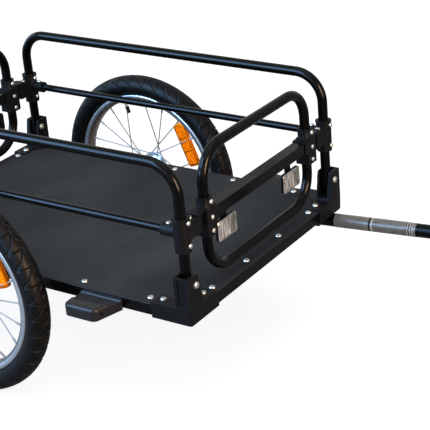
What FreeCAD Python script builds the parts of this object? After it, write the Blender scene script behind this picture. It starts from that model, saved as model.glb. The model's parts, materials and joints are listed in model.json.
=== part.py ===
import FreeCAD, Part
import math
import os
import re
import Sketcher

# Flat-deck cargo trailer for a bicycle. X is the direction of travel, Y is left, Z is up.
# The origin is the centre of the deck's top face. All lengths are millimetres.
# Most pieces are drawn at the front left corner and mirrored to the other corners.

V = FreeCAD.Vector
AXIS_X = V(1, 0, 0)
AXIS_Y = V(0, 1, 0)
AXIS_Z = V(0, 0, 1)

SIZES = {
    # Frame and deck
    "frame_length": 726,
    "frame_width": 493,
    "frame_tube": 20,
    "frame_wall": 1.5,
    "deck_thickness": 2,
    "bearer_from_front": 233,
    # Screws with low round heads
    "head_diameter": 11,
    "head_height": 3,
    "shank_diameter": 4.5,
    "shank_length": 9,
    "screw_inset": 16,
    "side_screw_from_corner": 13,
    "end_screw_from_corner": 9.5,
    # Folding side rails
    "rail_diameter": 18,
    "rail_height": 243.5,
    "rail_bend": 52,
    "rail_end_inset": 15,
    "rail_side_inset": 19,
    "pivot_height": 42,
    "post_end": 12,
    "mid_rail_diameter": 12.5,
    "mid_rail_height": 132,
    "mid_rail_end": 16,
    # Pivot bolts through the corner towers
    "pivot_diameter": 6,
    "pivot_clearance": 0.05,
    "pivot_head_diameter": 12,
    "pivot_head_height": 4,
    "pivot_nut_height": 5,
    # Moulded corners
    "corner_wall": 2.5,
    "corner_flange": 3,
    "corner_side_arm": 76,
    "corner_end_arm": 78,
    "corner_flange_width": 27,
    "corner_gusset": 22,
    "corner_side_screw_from_end": 13,
    "corner_end_screw_from_end": 17,
    "tower_depth": 38,
    "tower_top_depth": 27,
    "tower_set_back": 2,
    "tower_height": 58,
    "tower_ear": 3.5,
    "tower_outer_wall": 3.2,
    "tower_round": 4,
    "tower_floor": 24,
    "post_clearance": 0.5,
    "recess_depth": 1,
    "recess_margin": 7,
    # Tee fittings on the side posts
    "tee_sleeve_diameter": 28,
    "tee_bottom": 99,
    "tee_top": 157,
    "tee_rim_height": 3,
    "tee_rim_wall": 1,
    "tee_socket_diameter": 22,
    "tee_socket_reach": 36,
    "fit_clearance": 0.15,
    "block_inner": 42,
    "block_depth": 20,
    "block_bottom": 116,
    "block_top": 147,
    "block_bolt_from_post": 22,
    "block_bolt_head": 10,
    "block_nut_height": 4,
    "tee_screw_low": 110,
    "tee_screw_high": 149.5,
    "tee_screw_length": 7,
    "tee_head_diameter": 8.5,
    "socket_screw_from_post": 24,
    # End gates
    "gate_from_rail": 66.5,
    "gate_height": 241.5,
    "gate_foot": 27,
    "gate_bend": 55,
    "gate_split": 132,
    "gate_split_gap": 4,
    "clamp_width": 27,
    "clamp_bottom": 100,
    "clamp_top": 166,
    "clamp_socket_reach": 9,
    "clamp_socket_wall": 2,
    "lip_thickness": 3,
    "lip_reach": 37,
    "lip_depth": 22,
    "seat_gap": 0.3,
    "hook_depth": 6,
    "hook_width": 6,
    "hook_back": 5,
    "hook_front": 5,
    "hook_room": 0.4,
    "hook_lead": 3,
    "hook_from_post": 27.5,
    "clamp_screw_high": 159,
    "clamp_screw_middle": 132,
    "clamp_screw_low": 108,
    "crossbar_depth": 23,
    "crossbar_height": 20,
    "crossbar_wall": 1.5,
    "crossbar_centre": 135,
    "crossbar_from_gate_post": 11,
    # Clear reflectors under the crossbar
    "reflector_width": 55,
    "reflector_height": 36,
    "reflector_depth": 7,
    "reflector_from_gate_post": 57,
    "reflector_top": 106,
    "reflector_round": 5,
    "hanger_width": 16,
    "hanger_thickness": 4,
    "hanger_drop": 42,
    "hanger_setback": 4,
    # Wheel guards
    "guard_from_front": 137,
    "guard_length": 83,
    "guard_rear_slant": 2,
    "guard_front_slant": 16,
    "guard_reach": 55,
    "guard_top": 4,
    "guard_height": 22,
    "guard_wall": 3,
    "guard_round": 12,
    "guard_edge_round": 6,
    "guard_trough_depth": 6,
    "guard_trough_flat": 21,
    "guard_trough_end": 34.5,
    "guard_trough_round": 4,
    "guard_hole": 5,
    "guard_hole_reach": 39.5,
    "guard_hole_height": 9,
    "guard_screw_from_rear": 22,
    "guard_screw_from_front": 26,
    "guard_screw_level": 18,
    # Wheels
    "axle_from_front": 468.6,
    "beam_size": 30,
    "beam_wall": 2,
    "wheel_from_frame": 40.5,
    "tyre_radius": 200,
    "tyre_width": 44,
    "tyre_shoulder": 178,
    "tyre_foot_width": 23,
    "tread_width": 26,
    "tread_drop": 5,
    "rim_radius": 162,
    "rim_seat": 156,
    "rim_well": 153.5,
    "rim_inner": 148,
    "rim_width": 27,
    "rim_wall": 1.5,
    "rim_well_width": 14,
    "rim_crown_width": 16,
    "hub_length": 50,
    "hub_diameter": 36,
    "hub_flange_diameter": 58,
    "hub_flange_thickness": 3,
    "hub_flange_inset": 5,
    "hub_bore_room": 2,
    "bearing_diameter": 28,
    "bearing_width": 8,
    "spoke_count": 20,
    "spoke_diameter": 2,
    "spoke_circle": 26,
    "spoke_lace_angle": 58,
    "spoke_seat": 1,
    "amber_length": 92,
    "amber_width": 26,
    "amber_thickness": 8,
    "amber_radius": 119.5,
    "amber_angle": 34.3,
    "amber_tilt_angle": 13,
    # Quick release axles
    "axle_diameter": 12,
    "axle_clearance": 0.05,
    "axle_insert": 55,
    "collar_diameter": 18,
    "cap_diameter": 20,
    "cap_thickness": 5,
    "cap_gap": 0.4,
    "socket_wall": 5,
    "button_diameter": 8,
    "button_length": 9,
    "button_stand": 4,
    # Drawbar, socket and hitch, laid out along the tube's own slope
    "drawbar_diameter": 25,
    "drawbar_from_side": 24.5,
    "drawbar_below_frame": 16.8,
    "drawbar_set_back": 1,
    "drawbar_slope_angle": 4.1,
    "drawbar_rear": 165,
    "drawbar_straight": 340,
    "drawbar_shift": 160,
    "drawbar_turn_angle": 45,
    "drawbar_bend": 70,
    "drawbar_roll_angle": 30,
    "drawbar_nose": 25,
    "wrap_start": 8,
    "wrap_length": 168,
    "wrap_thickness": 0.4,
    "sleeve_wall": 3,
    "sleeve_length": 140,
    "sleeve_front": 30,
    "sleeve_clearance": 0.1,
    "saddle_thickness": 4,
    "saddle_front": 88,
    "saddle_rear": 158,
    "key_diameter": 6,
    "key_stand": 5,
    "key_from_front": 8,
    "knob_place": 105,
    "knob_diameter": 36,
    "knob_height": 14,
    "knob_lobe": 5,
    "knob_screw": 8,
    "boss_diameter": 18,
    "boss_height": 10,
    # Hitch
    "fork_length": 34,
    "fork_width": 26,
    "fork_plate": 5,
    "fork_gap": 20.6,
    "knuckle_height": 20,
    "knuckle_width": 22,
    "knuckle_slot": 6.6,
    "hitch_pin": 8,
    "pin_head_diameter": 13,
    "pin_head_height": 3,
    "pitch_from_yaw": 30,
    "coupler_thickness": 6,
    "coupler_width": 24,
    "coupler_length": 60,
    "coupler_bore": 10.2,
    # Cuts run past the faces that they open by this much
    "overrun": 1,
    # Edges are found within this distance
    "match_tolerance": 0.1,
}

# An edge counts as straight along an axis when its span is this share of its length
STRAIGHT_SHARE = 0.99
# Deck screws between the corners, from the middle to the outermost one
SIDE_SCREW_SHARES = (-1, -0.5, 0, 0.5, 1)
END_SCREW_SHARES = (-1, -1 / 3, 1 / 3, 1)
# Lobes round the clamp knob
KNOB_LOBES = 5
# Sides of a spoke's and of a screw shank's section
SPOKE_SIDES = 6

doc = FreeCAD.newDocument("CargoTrailer")
sheet = doc.addObject("Spreadsheet::Sheet", "Sizes")
for row, (alias, value) in enumerate(SIZES.items(), start=1):
    sheet.set("A%d" % row, alias)
    sheet.set("B%d" % row, str(value))
    sheet.setAlias("B%d" % row, alias)
doc.recompute()

WORD = re.compile(r"[a-z_]+")


def size(text):
    """The value of a sum of named sizes."""
    total = WORD.sub(lambda found: str(float(sheet.get(found.group()))), text)
    return sheet_sum(total)


def sheet_sum(text):
    """Work out a sum of plain numbers with + - * / and brackets."""
    return float(FreeCAD.Units.Quantity("(" + text + ")").Value)


def named(text):
    """The same sum, written for an expression that reads the sheet."""
    return WORD.sub(lambda found: "Sizes." + found.group(), text)


def bind(item, **sums):
    for name, text in sums.items():
        item.setExpression(name, named(text))


def place(item, x="0", y="0", z="0"):
    for axis, text in (("x", x), ("y", y), ("z", z)):
        if text != "0":
            item.setExpression("Placement.Base." + axis, named(text))


TURNS = {
    "X": FreeCAD.Rotation(AXIS_Y, 90),
    "Y": FreeCAD.Rotation(AXIS_X, -90),
    "-Y": FreeCAD.Rotation(AXIS_X, 90),
    "Z": FreeCAD.Rotation(),
    "-Z": FreeCAD.Rotation(AXIS_X, 180),
}


def box(name, length, width, height, x, y, z):
    item = doc.addObject("Part::Box", name)
    bind(item, Length=length, Width=width, Height=height)
    place(item, x, y, z)
    return item


def rod(name, radius, height, axis, x, y, z):
    item = doc.addObject("Part::Cylinder", name)
    item.Placement.Rotation = TURNS[axis]
    bind(item, Radius=radius, Height=height)
    place(item, x, y, z)
    return item


def fuse(name, *pieces):
    item = doc.addObject("Part::MultiFuse", name)
    item.Shapes = list(pieces)
    item.Refine = True
    return item


def cut(name, base, *tools):
    item = doc.addObject("Part::Cut", name)
    item.Base = base
    item.Tool = tools[0] if len(tools) == 1 else fuse(name + "Tools", *tools)
    item.Refine = True
    return item


def mirror(name, source, normal):
    item = doc.addObject("Part::Mirroring", name)
    item.Source = source
    item.Normal = normal
    return item


def group(name, *pieces):
    item = doc.addObject("Part::Compound", name)
    item.Links = list(pieces)
    return item


def origin_plane(body, role):
    for feature in body.Origin.OriginFeatures:
        if feature.Role == role:
            return feature


def sketch_on(body, name, role):
    item = body.newObject("Sketcher::SketchObject", name)
    item.AttachmentSupport = [(origin_plane(body, role), "")]
    item.MapMode = "FlatFace"
    return item


def pin_point(sketch, line, end, across, up):
    """Hold one end of a line at two named sums from the origin."""
    for kind, text in (("DistanceX", across), ("DistanceY", up)):
        value = size(text)
        rule = Sketcher.Constraint(kind, -1, 1, line, end, value)
        index = sketch.addConstraint(rule)
        sketch.setExpression("Constraints[%d]" % index, named(text))


def outline(sketch, corners):
    """A closed outline of straight lines through corners given as named sums."""
    points = [V(size(across), size(up), 0) for across, up in corners]
    count = len(points)
    first = sketch.GeometryCount
    for index in range(count):
        follower = points[(index + 1) % count]
        sketch.addGeometry(Part.LineSegment(points[index], follower), False)
    for index in range(count):
        joined = first + (index + 1) % count
        sketch.addConstraint(Sketcher.Constraint("Coincident", first + index, 2, joined, 1))
    for index, (across, up) in enumerate(corners):
        pin_point(sketch, first + index, 1, across, up)


def hoop_path(sketch, half, foot, crown, bend):
    """A U on its head: two legs, two bends and the bar that joins them."""
    side, low, top, round_size = size(half), size(foot), size(crown), size(bend)
    upward = 1 if top > low else -1
    knee = top - upward * round_size
    inner = side - round_size
    right_start, right_end = (0, math.pi / 2) if upward > 0 else (-math.pi / 2, 0)
    left_start, left_end = (math.pi / 2, math.pi) if upward > 0 else (math.pi, 1.5 * math.pi)
    right = Part.Circle(V(inner, knee, 0), AXIS_Z, round_size)
    left = Part.Circle(V(-inner, knee, 0), AXIS_Z, round_size)
    sketch.addGeometry(Part.LineSegment(V(side, low, 0), V(side, knee, 0)), False)
    sketch.addGeometry(Part.ArcOfCircle(right, right_start, right_end), False)
    sketch.addGeometry(Part.LineSegment(V(inner, top, 0), V(-inner, top, 0)), False)
    sketch.addGeometry(Part.ArcOfCircle(left, left_start, left_end), False)
    sketch.addGeometry(Part.LineSegment(V(-side, knee, 0), V(-side, low, 0)), False)
    knee_end, bar_end = (1, 2) if upward > 0 else (2, 1)
    left_bar, left_knee = (1, 2) if upward > 0 else (2, 1)
    sketch.addConstraint(Sketcher.Constraint("Tangent", 0, 2, 1, knee_end))
    sketch.addConstraint(Sketcher.Constraint("Tangent", 1, bar_end, 2, 1))
    sketch.addConstraint(Sketcher.Constraint("Tangent", 2, 2, 3, left_bar))
    sketch.addConstraint(Sketcher.Constraint("Tangent", 3, left_knee, 4, 1))
    sketch.addConstraint(Sketcher.Constraint("Horizontal", 2))
    for arc in (1, 3):
        index = sketch.addConstraint(Sketcher.Constraint("Radius", arc, round_size))
        sketch.setExpression("Constraints[%d]" % index, named(bend))
    index = sketch.addConstraint(Sketcher.Constraint("DistanceY", -1, 1, 2, 1, top))
    sketch.setExpression("Constraints[%d]" % index, named(crown))
    sketch.addConstraint(Sketcher.Constraint("Vertical", 0))
    sketch.addConstraint(Sketcher.Constraint("Vertical", 4))
    pin_point(sketch, 0, 1, half, foot)
    pin_point(sketch, 4, 2, "-(%s)" % half, foot)


def bent_tube(name, role, half, foot, crown, bend, diameter):
    """A round tube swept along a hoop path in the XZ or YZ plane of its body."""
    body = doc.addObject("PartDesign::Body", name)
    path = sketch_on(body, name + "Path", role)
    hoop_path(path, half, foot, crown, bend)
    section = sketch_on(body, name + "Section", "XY_Plane")
    middle = V(size(half), 0, 0) if role == "XZ_Plane" else V(0, size(half), 0)
    circle = section.addGeometry(Part.Circle(middle, AXIS_Z, size(diameter) / 2), False)
    index = section.addConstraint(Sketcher.Constraint("Diameter", circle, size(diameter)))
    section.setExpression("Constraints[%d]" % index, named(diameter))
    across, still = ("DistanceX", "DistanceY") if role == "XZ_Plane" else ("DistanceY", "DistanceX")
    index = section.addConstraint(Sketcher.Constraint(across, -1, 1, circle, 3, size(half)))
    section.setExpression("Constraints[%d]" % index, named(half))
    section.addConstraint(Sketcher.Constraint(still, -1, 1, circle, 3, 0))
    section.AttachmentOffset = FreeCAD.Placement(V(0, 0, size(foot)), FreeCAD.Rotation())
    section.setExpression("AttachmentOffset.Base.z", named(foot))
    doc.recompute()
    pipe = body.newObject("PartDesign::AdditivePipe", name + "Pipe")
    pipe.Profile = section
    pipe.Spine = (path, ["Edge%d" % number for number in range(1, 6)])
    body.Tip = pipe
    return body


def pad(body, name, sketch, length, from_height):
    """Raise a sketch on the XY plane by a length, from a height."""
    sketch.AttachmentOffset = FreeCAD.Placement(V(0, 0, size(from_height)), FreeCAD.Rotation())
    sketch.setExpression("AttachmentOffset.Base.z", named(from_height))
    item = body.newObject("PartDesign::Pad", name)
    item.Profile = sketch
    item.Length = size(length)
    bind(item, Length=length)
    body.Tip = item
    return item


def sink(body, name, sketch, depth, from_height, reverse=False):
    """Cut a sketch on the XY plane down by a depth, or up where reversed."""
    sketch.AttachmentOffset = FreeCAD.Placement(V(0, 0, size(from_height)), FreeCAD.Rotation())
    sketch.setExpression("AttachmentOffset.Base.z", named(from_height))
    item = body.newObject("PartDesign::Pocket", name)
    item.Profile = sketch
    item.Length = size(depth)
    item.Reversed = reverse
    bind(item, Length=depth)
    body.Tip = item
    return item


def feature(name, shape):
    item = doc.addObject("Part::Feature", name)
    item.Shape = shape
    return item


# Frame: two side tubes the full length, cross tubes between them, and the deck sheet on top

END = "frame_length / 2"
SIDE = "frame_width / 2"
FRAME_BOTTOM = "-deck_thickness - frame_tube"
POST_X = "frame_length / 2 - rail_end_inset"
POST_Y = "frame_width / 2 - rail_side_inset"
GATE_Y = "(frame_width / 2 - rail_side_inset - gate_from_rail)"
CROSSBAR_END = "(frame_width / 2 - rail_side_inset - gate_from_rail - crossbar_from_gate_post)"
REFLECTOR_Y = "(frame_width / 2 - rail_side_inset - gate_from_rail - reflector_from_gate_post)"
AXLE_X = "frame_length / 2 - axle_from_front"
AXLE_Z = FRAME_BOTTOM + " - beam_size / 2"
WHEEL_MIDDLE = "frame_width / 2 + wheel_from_frame"
GUARD_FRONT = "frame_length / 2 - guard_from_front"
GUARD_REAR = GUARD_FRONT + " - guard_length"


def square_tube_along_x(name, y_low):
    outer = box(name + "Outer", "frame_length", "frame_tube", "frame_tube",
                "-frame_length / 2", y_low, FRAME_BOTTOM)
    inner = box(name + "Bore", "frame_length + 2 * overrun",
                "frame_tube - 2 * frame_wall", "frame_tube - 2 * frame_wall",
                "-frame_length / 2 - overrun", y_low + " + frame_wall", FRAME_BOTTOM + " + frame_wall")
    return cut(name, outer, inner)


def square_tube_along_y(name, x_low):
    outer = box(name + "Outer", "frame_tube", "frame_width - 2 * frame_tube", "frame_tube",
                x_low, "-frame_width / 2 + frame_tube", FRAME_BOTTOM)
    inner = box(name + "Bore", "frame_tube - 2 * frame_wall",
                "frame_width - 2 * frame_tube + 2 * overrun", "frame_tube - 2 * frame_wall",
                x_low + " + frame_wall", "-frame_width / 2 + frame_tube - overrun",
                FRAME_BOTTOM + " + frame_wall")
    return cut(name, outer, inner)


def make_frame():
    left = square_tube_along_x("left_frame_tube", SIDE + " - frame_tube")
    right = square_tube_along_x("right_frame_tube", "-frame_width / 2")
    front = square_tube_along_y("front_frame_tube", END + " - frame_tube")
    rear = square_tube_along_y("rear_frame_tube", "-frame_length / 2")
    bearer = square_tube_along_y("deck_bearer", END + " - bearer_from_front")
    deck = box("deck_panel", "frame_length", "frame_width", "deck_thickness",
               "-frame_length / 2", "-frame_width / 2", "-deck_thickness")
    return [left, right, front, rear, bearer, deck]


# Axle beam: a square tube under the frame with a thick bush welded into each end

def make_axle_beam():
    low = AXLE_Z + " - beam_size / 2"
    outer = box("BeamOuter", "beam_size", "frame_width", "beam_size",
                AXLE_X + " - beam_size / 2", "-frame_width / 2", low)
    inner = box("BeamBore", "beam_size - 2 * beam_wall", "frame_width + 2 * overrun",
                "beam_size - 2 * beam_wall", AXLE_X + " - beam_size / 2 + beam_wall",
                "-frame_width / 2 - overrun", low + " + beam_wall")
    tube = cut("BeamTube", outer, inner)
    bush = box("BeamBushLeft", "beam_size - 2 * beam_wall", "axle_insert + socket_wall",
               "beam_size - 2 * beam_wall", AXLE_X + " - beam_size / 2 + beam_wall",
               SIDE + " - axle_insert - socket_wall", low + " + beam_wall")
    other = box("BeamBushRight", "beam_size - 2 * beam_wall", "axle_insert + socket_wall",
                "beam_size - 2 * beam_wall", AXLE_X + " - beam_size / 2 + beam_wall",
                "-frame_width / 2", low + " + beam_wall")
    bore = rod("BeamBoreLeft", "axle_diameter / 2 + axle_clearance", "axle_insert + overrun", "Y",
               AXLE_X, SIDE + " - axle_insert", AXLE_Z)
    bore_right = rod("BeamBoreRight", "axle_diameter / 2 + axle_clearance", "axle_insert + overrun",
                     "-Y", AXLE_X, "-frame_width / 2 + axle_insert", AXLE_Z)
    return [cut("axle_beam", fuse("BeamBody", tube, bush, other), bore, bore_right)]


# Moulded corner: a cap that wraps the frame's corner, with a slotted tower for the post

CORNER_X = "frame_length / 2 + corner_wall"
CORNER_Y = "frame_width / 2 + corner_wall"
TOWER_Y = "frame_width / 2 + corner_wall - tower_set_back"


def make_corner(name):
    """The moulding, with a shallow upright recess in the tower's outer side."""
    ear_outer = POST_X + " - rail_diameter / 2 - post_clearance - tower_ear"
    recess = box("CornerRecess", CORNER_X + " - recess_margin - (%s + recess_margin)" % ear_outer,
                 "recess_depth + overrun", "tower_height - 2 * recess_margin",
                 ear_outer + " + recess_margin", TOWER_Y + " - recess_depth", "recess_margin")
    return cut(name, make_corner_body("CornerBody"), recess)


def make_corner_body(name):
    body = doc.addObject("PartDesign::Body", name)
    cap = sketch_on(body, "CornerOutline", "XY_Plane")
    inner_y = "frame_width / 2 - corner_flange_width"
    inner_x = "frame_length / 2 - corner_flange_width"
    outline(cap, [
        ("frame_length / 2 - corner_side_arm", inner_y),
        (inner_x + " - corner_gusset", inner_y),
        (inner_x, inner_y + " - corner_gusset"),
        (inner_x, "frame_width / 2 - corner_end_arm"),
        (CORNER_X, "frame_width / 2 - corner_end_arm"),
        (CORNER_X, CORNER_Y),
        ("frame_length / 2 - corner_side_arm", CORNER_Y),
    ])
    pad(body, "CornerCap", cap, "corner_flange + deck_thickness + frame_tube + corner_wall",
        FRAME_BOTTOM + " - corner_wall")
    tower = sketch_on(body, "TowerOutline", "YZ_Plane")
    ear_outer = POST_X + " - rail_diameter / 2 - post_clearance - tower_ear"
    outline(tower, [
        ("frame_width / 2 - tower_depth", "0"),
        (TOWER_Y, "0"),
        (TOWER_Y, "tower_height"),
        ("frame_width / 2 - tower_top_depth", "tower_height"),
    ])
    raise_along_x(body, "Tower", tower, CORNER_X + " - (" + ear_outer + ")", ear_outer)
    hollow = sketch_on(body, "FrameSeat", "XY_Plane")
    outline(hollow, [
        ("frame_length / 2 - corner_side_arm - overrun", "frame_width / 2 - corner_end_arm - overrun"),
        (END, "frame_width / 2 - corner_end_arm - overrun"),
        (END, SIDE),
        ("frame_length / 2 - corner_side_arm - overrun", SIDE),
    ])
    sink(body, "FrameHollow", hollow, "deck_thickness + frame_tube", "0")
    slot = sketch_on(body, "PostSlotOutline", "XY_Plane")
    slot_low = POST_X + " - rail_diameter / 2 - post_clearance"
    slot_high = POST_X + " + rail_diameter / 2 + post_clearance"
    outline(slot, [
        (slot_low, "frame_width / 2 - tower_depth - overrun"),
        (slot_high, "frame_width / 2 - tower_depth - overrun"),
        (slot_high, TOWER_Y + " - tower_outer_wall"),
        (slot_low, TOWER_Y + " - tower_outer_wall"),
    ])
    sink(body, "PostSlot", slot, "tower_height - tower_floor + overrun", "tower_height + overrun")
    doc.recompute()
    round_ears(body)
    bore = sketch_on(body, "PivotBore", "YZ_Plane")
    hole = bore.addGeometry(Part.Circle(V(size(POST_Y), size("pivot_height"), 0), AXIS_Z,
                                        size("pivot_diameter") / 2), False)
    index = bore.addConstraint(Sketcher.Constraint("Diameter", hole, size("pivot_diameter")))
    bore.setExpression("Constraints[%d]" % index, named("pivot_diameter"))
    index = bore.addConstraint(Sketcher.Constraint("DistanceX", -1, 1, hole, 3, size(POST_Y)))
    bore.setExpression("Constraints[%d]" % index, named(POST_Y))
    index = bore.addConstraint(Sketcher.Constraint("DistanceY", -1, 1, hole, 3, size("pivot_height")))
    bore.setExpression("Constraints[%d]" % index, named("pivot_height"))
    item = body.newObject("PartDesign::Pocket", "PivotHole")
    item.Profile = bore
    item.Type = "ThroughAll"
    item.Reversed = True
    body.Tip = item
    return body


def round_ears(body):
    """Round the towers' two upper corners that face the deck."""
    level = size("tower_height")
    inner = size("frame_width / 2 - tower_top_depth")
    edges = []
    for number, edge in enumerate(body.Tip.Shape.Edges, start=1):
        middle = edge.CenterOfMass
        along_x = abs(edge.BoundBox.XLength - edge.Length) < size("match_tolerance")
        if along_x and abs(middle.z - level) < size("match_tolerance"):
            if abs(middle.y - inner) < size("match_tolerance"):
                edges.append("Edge%d" % number)
    item = body.newObject("PartDesign::Fillet", "EarRound")
    item.Base = (body.getObject("PostSlot"), edges)
    item.Radius = size("tower_round")
    bind(item, Radius="tower_round")
    body.Tip = item


def make_hoop(name):
    """One side rail: both posts and the top bar bent from one tube, bored for the pivot bolts."""
    body = bent_tube(name, "XZ_Plane", POST_X, "pivot_height - post_end", "rail_height",
                     "rail_bend", "rail_diameter")
    bore = sketch_on(body, name + "Bore", "YZ_Plane")
    hole = bore.addGeometry(Part.Circle(V(0, size("pivot_height"), 0), AXIS_Z,
                                        size("pivot_diameter") / 2), False)
    index = bore.addConstraint(Sketcher.Constraint("Diameter", hole, size("pivot_diameter")))
    bore.setExpression("Constraints[%d]" % index, named("pivot_diameter"))
    index = bore.addConstraint(Sketcher.Constraint("DistanceY", -1, 1, hole, 3, size("pivot_height")))
    bore.setExpression("Constraints[%d]" % index, named("pivot_height"))
    bore.addConstraint(Sketcher.Constraint("PointOnObject", hole, 3, -2))
    item = body.newObject("PartDesign::Pocket", name + "BoltHoles")
    item.Profile = bore
    item.Type = "ThroughAll"
    item.Midplane = True
    body.Tip = item
    place(body, y=POST_Y)
    return body


def make_mid_rail(name):
    return rod(name, "mid_rail_diameter / 2", "2 * (%s - mid_rail_end)" % POST_X, "X",
               "-(%s - mid_rail_end)" % POST_X, POST_Y, "mid_rail_height")


def slab(name, corners, y_low, width):
    """A straight-sided outline in the XZ plane, raised along Y."""
    sketch = doc.addObject("Sketcher::SketchObject", name + "Outline")
    sketch.Placement.Rotation = TURNS["-Y"]
    outline(sketch, corners)
    place(sketch, y=y_low)
    item = doc.addObject("Part::Extrusion", name)
    item.Base = sketch
    item.DirMode = "Custom"
    item.Dir = AXIS_Y
    item.Solid = True
    bind(item, LengthFwd=width)
    return item


# Tee: a sleeve round the post, a socket for the middle rail and a block for the gate's hook

def make_tee(name):
    sleeve = rod("TeeSleeve", "tee_sleeve_diameter / 2", "tee_top - tee_bottom", "Z",
                 POST_X, POST_Y, "tee_bottom")
    rim = rod("TeeRim", "tee_sleeve_diameter / 2 + tee_rim_wall", "tee_rim_height", "Z",
              POST_X, POST_Y, "tee_top - tee_rim_height")
    socket = rod("TeeSocket", "tee_socket_diameter / 2", "tee_socket_reach", "X",
                 POST_X + " - tee_socket_reach", POST_Y, "mid_rail_height")
    block = box("TeeBlock", "block_depth", "block_inner", "block_top - block_bottom",
                POST_X + " - block_depth / 2", POST_Y + " - block_inner", "block_bottom")
    post = rod("TeePostBore", "rail_diameter / 2 + fit_clearance",
               "tee_top - tee_bottom + 2 * overrun", "Z", POST_X, POST_Y, "tee_bottom - overrun")
    rail = rod("TeeRailBore", "mid_rail_diameter / 2 + fit_clearance",
               "tee_socket_reach - mid_rail_end + overrun + seat_gap", "X",
               POST_X + " - tee_socket_reach - overrun", POST_Y, "mid_rail_height")
    bolt = rod("TeeBoltHole", "shank_diameter / 2 + fit_clearance",
               "block_top - block_bottom + 2 * overrun", "Z", POST_X,
               POST_Y + " - block_bolt_from_post", "block_bottom - overrun")
    pocket = slab("TeeHookPocket", [
        (POST_X + " - hook_back - hook_room", "block_top - hook_depth - hook_room"),
        (POST_X + " + hook_front + hook_room - hook_depth", "block_top - hook_depth - hook_room"),
        (POST_X + " + hook_front + 2 * hook_room + overrun", "block_top + overrun"),
        (POST_X + " - hook_back - hook_room", "block_top + overrun"),
    ], GATE_Y + " + hook_from_post - hook_room", "hook_width + hook_room + hook_lead")
    return cut(name, fuse("TeeBody", sleeve, rim, socket, block), post, rail, bolt, pocket)


# Gate fitting: a clamp round the gate's post, a lip that hooks over the tee, a crossbar socket

def make_clamp(name):
    width = "clamp_width"
    low_y = GATE_Y + " - clamp_width / 2"
    half_depth = "(crossbar_depth / 2 + clamp_socket_wall)"
    lip_low = "block_top + seat_gap"
    column = box("ClampColumn", "2 * " + half_depth, width, lip_low + " - clamp_bottom",
                 POST_X + " - " + half_depth, low_y, "clamp_bottom")
    sleeve = rod("ClampSleeve", "clamp_width / 2", "clamp_top - " + lip_low.replace(" + ", " - "), "Z",
                 POST_X, GATE_Y, lip_low)
    lip = box("ClampLip", "lip_depth", "clamp_width / 2 + lip_reach", "lip_thickness",
              POST_X + " - lip_depth / 2", low_y, lip_low)
    socket = box("ClampSocket", "2 * " + half_depth, "clamp_socket_reach + overrun",
                 "crossbar_height + 2 * clamp_socket_wall", POST_X + " - " + half_depth,
                 low_y + " - clamp_socket_reach",
                 "crossbar_centre - crossbar_height / 2 - clamp_socket_wall")
    hook = slab("ClampHook", [
        (POST_X + " - hook_back", "block_top + seat_gap - hook_depth"),
        (POST_X + " + hook_front - hook_depth", "block_top + seat_gap - hook_depth"),
        (POST_X + " + hook_front", lip_low),
        (POST_X + " + hook_front", lip_low + " + lip_thickness / 2"),
        (POST_X + " - hook_back", lip_low + " + lip_thickness / 2"),
    ], GATE_Y + " + hook_from_post", "hook_width")
    post = rod("ClampPostBore", "rail_diameter / 2 + fit_clearance",
               "clamp_top - clamp_bottom + 2 * overrun", "Z", POST_X, GATE_Y,
               "clamp_bottom - overrun")
    pocket = box("ClampBarPocket", "crossbar_depth + 2 * fit_clearance",
                 "clamp_width / 2 + clamp_socket_reach + overrun + seat_gap - crossbar_from_gate_post",
                 "crossbar_height + 2 * fit_clearance",
                 POST_X + " - crossbar_depth / 2 - fit_clearance",
                 low_y + " - clamp_socket_reach - overrun",
                 "crossbar_centre - crossbar_height / 2 - fit_clearance")
    return cut(name, fuse("ClampBody", column, sleeve, lip, socket, hook), post, pocket)


def make_crossbar(name):
    outer = box("CrossbarOuter", "crossbar_depth", "2 * " + CROSSBAR_END, "crossbar_height",
                POST_X + " - crossbar_depth / 2", "-" + CROSSBAR_END,
                "crossbar_centre - crossbar_height / 2")
    inner = box("CrossbarBore", "crossbar_depth - 2 * crossbar_wall",
                "2 * " + CROSSBAR_END + " + 2 * overrun", "crossbar_height - 2 * crossbar_wall",
                POST_X + " - crossbar_depth / 2 + crossbar_wall", "-" + CROSSBAR_END + " - overrun",
                "crossbar_centre - crossbar_height / 2 + crossbar_wall")
    return cut(name, outer, inner)


def make_hanger(name):
    return box(name, "hanger_thickness", "hanger_width", "hanger_drop",
               POST_X + " - hanger_setback - hanger_thickness",
               REFLECTOR_Y + " - hanger_width / 2",
               "crossbar_centre - crossbar_height / 2 - hanger_drop")


def make_reflector(name):
    body = doc.addObject("PartDesign::Body", name)
    face = sketch_on(body, "ReflectorOutline", "YZ_Plane")
    near = REFLECTOR_Y + " - reflector_width / 2"
    far = REFLECTOR_Y + " + reflector_width / 2"
    outline(face, [
        (near, "reflector_top - reflector_height"),
        (far, "reflector_top - reflector_height"),
        (far, "reflector_top"),
        (near, "reflector_top"),
    ])
    raise_along_x(body, "ReflectorPad", face, "reflector_depth", POST_X + " - hanger_setback")
    doc.recompute()
    round_edges(body, "ReflectorRound", "reflector_round", is_along_x)
    return body


def raise_along_x(body, name, sketch, length, from_x):
    sketch.AttachmentOffset = FreeCAD.Placement(V(0, 0, size(from_x)), FreeCAD.Rotation())
    sketch.setExpression("AttachmentOffset.Base.z", named(from_x))
    item = body.newObject("PartDesign::Pad", name)
    item.Profile = sketch
    item.Length = size(length)
    bind(item, Length=length)
    body.Tip = item
    return item


def span(edge):
    """An edge's reach along X, Y and Z."""
    bound = edge.BoundBox
    return bound.XLength, bound.YLength, bound.ZLength


def is_along_x(edge):
    return span(edge)[0] > STRAIGHT_SHARE * edge.Length


def is_upright(edge):
    return span(edge)[2] > STRAIGHT_SHARE * edge.Length


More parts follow.
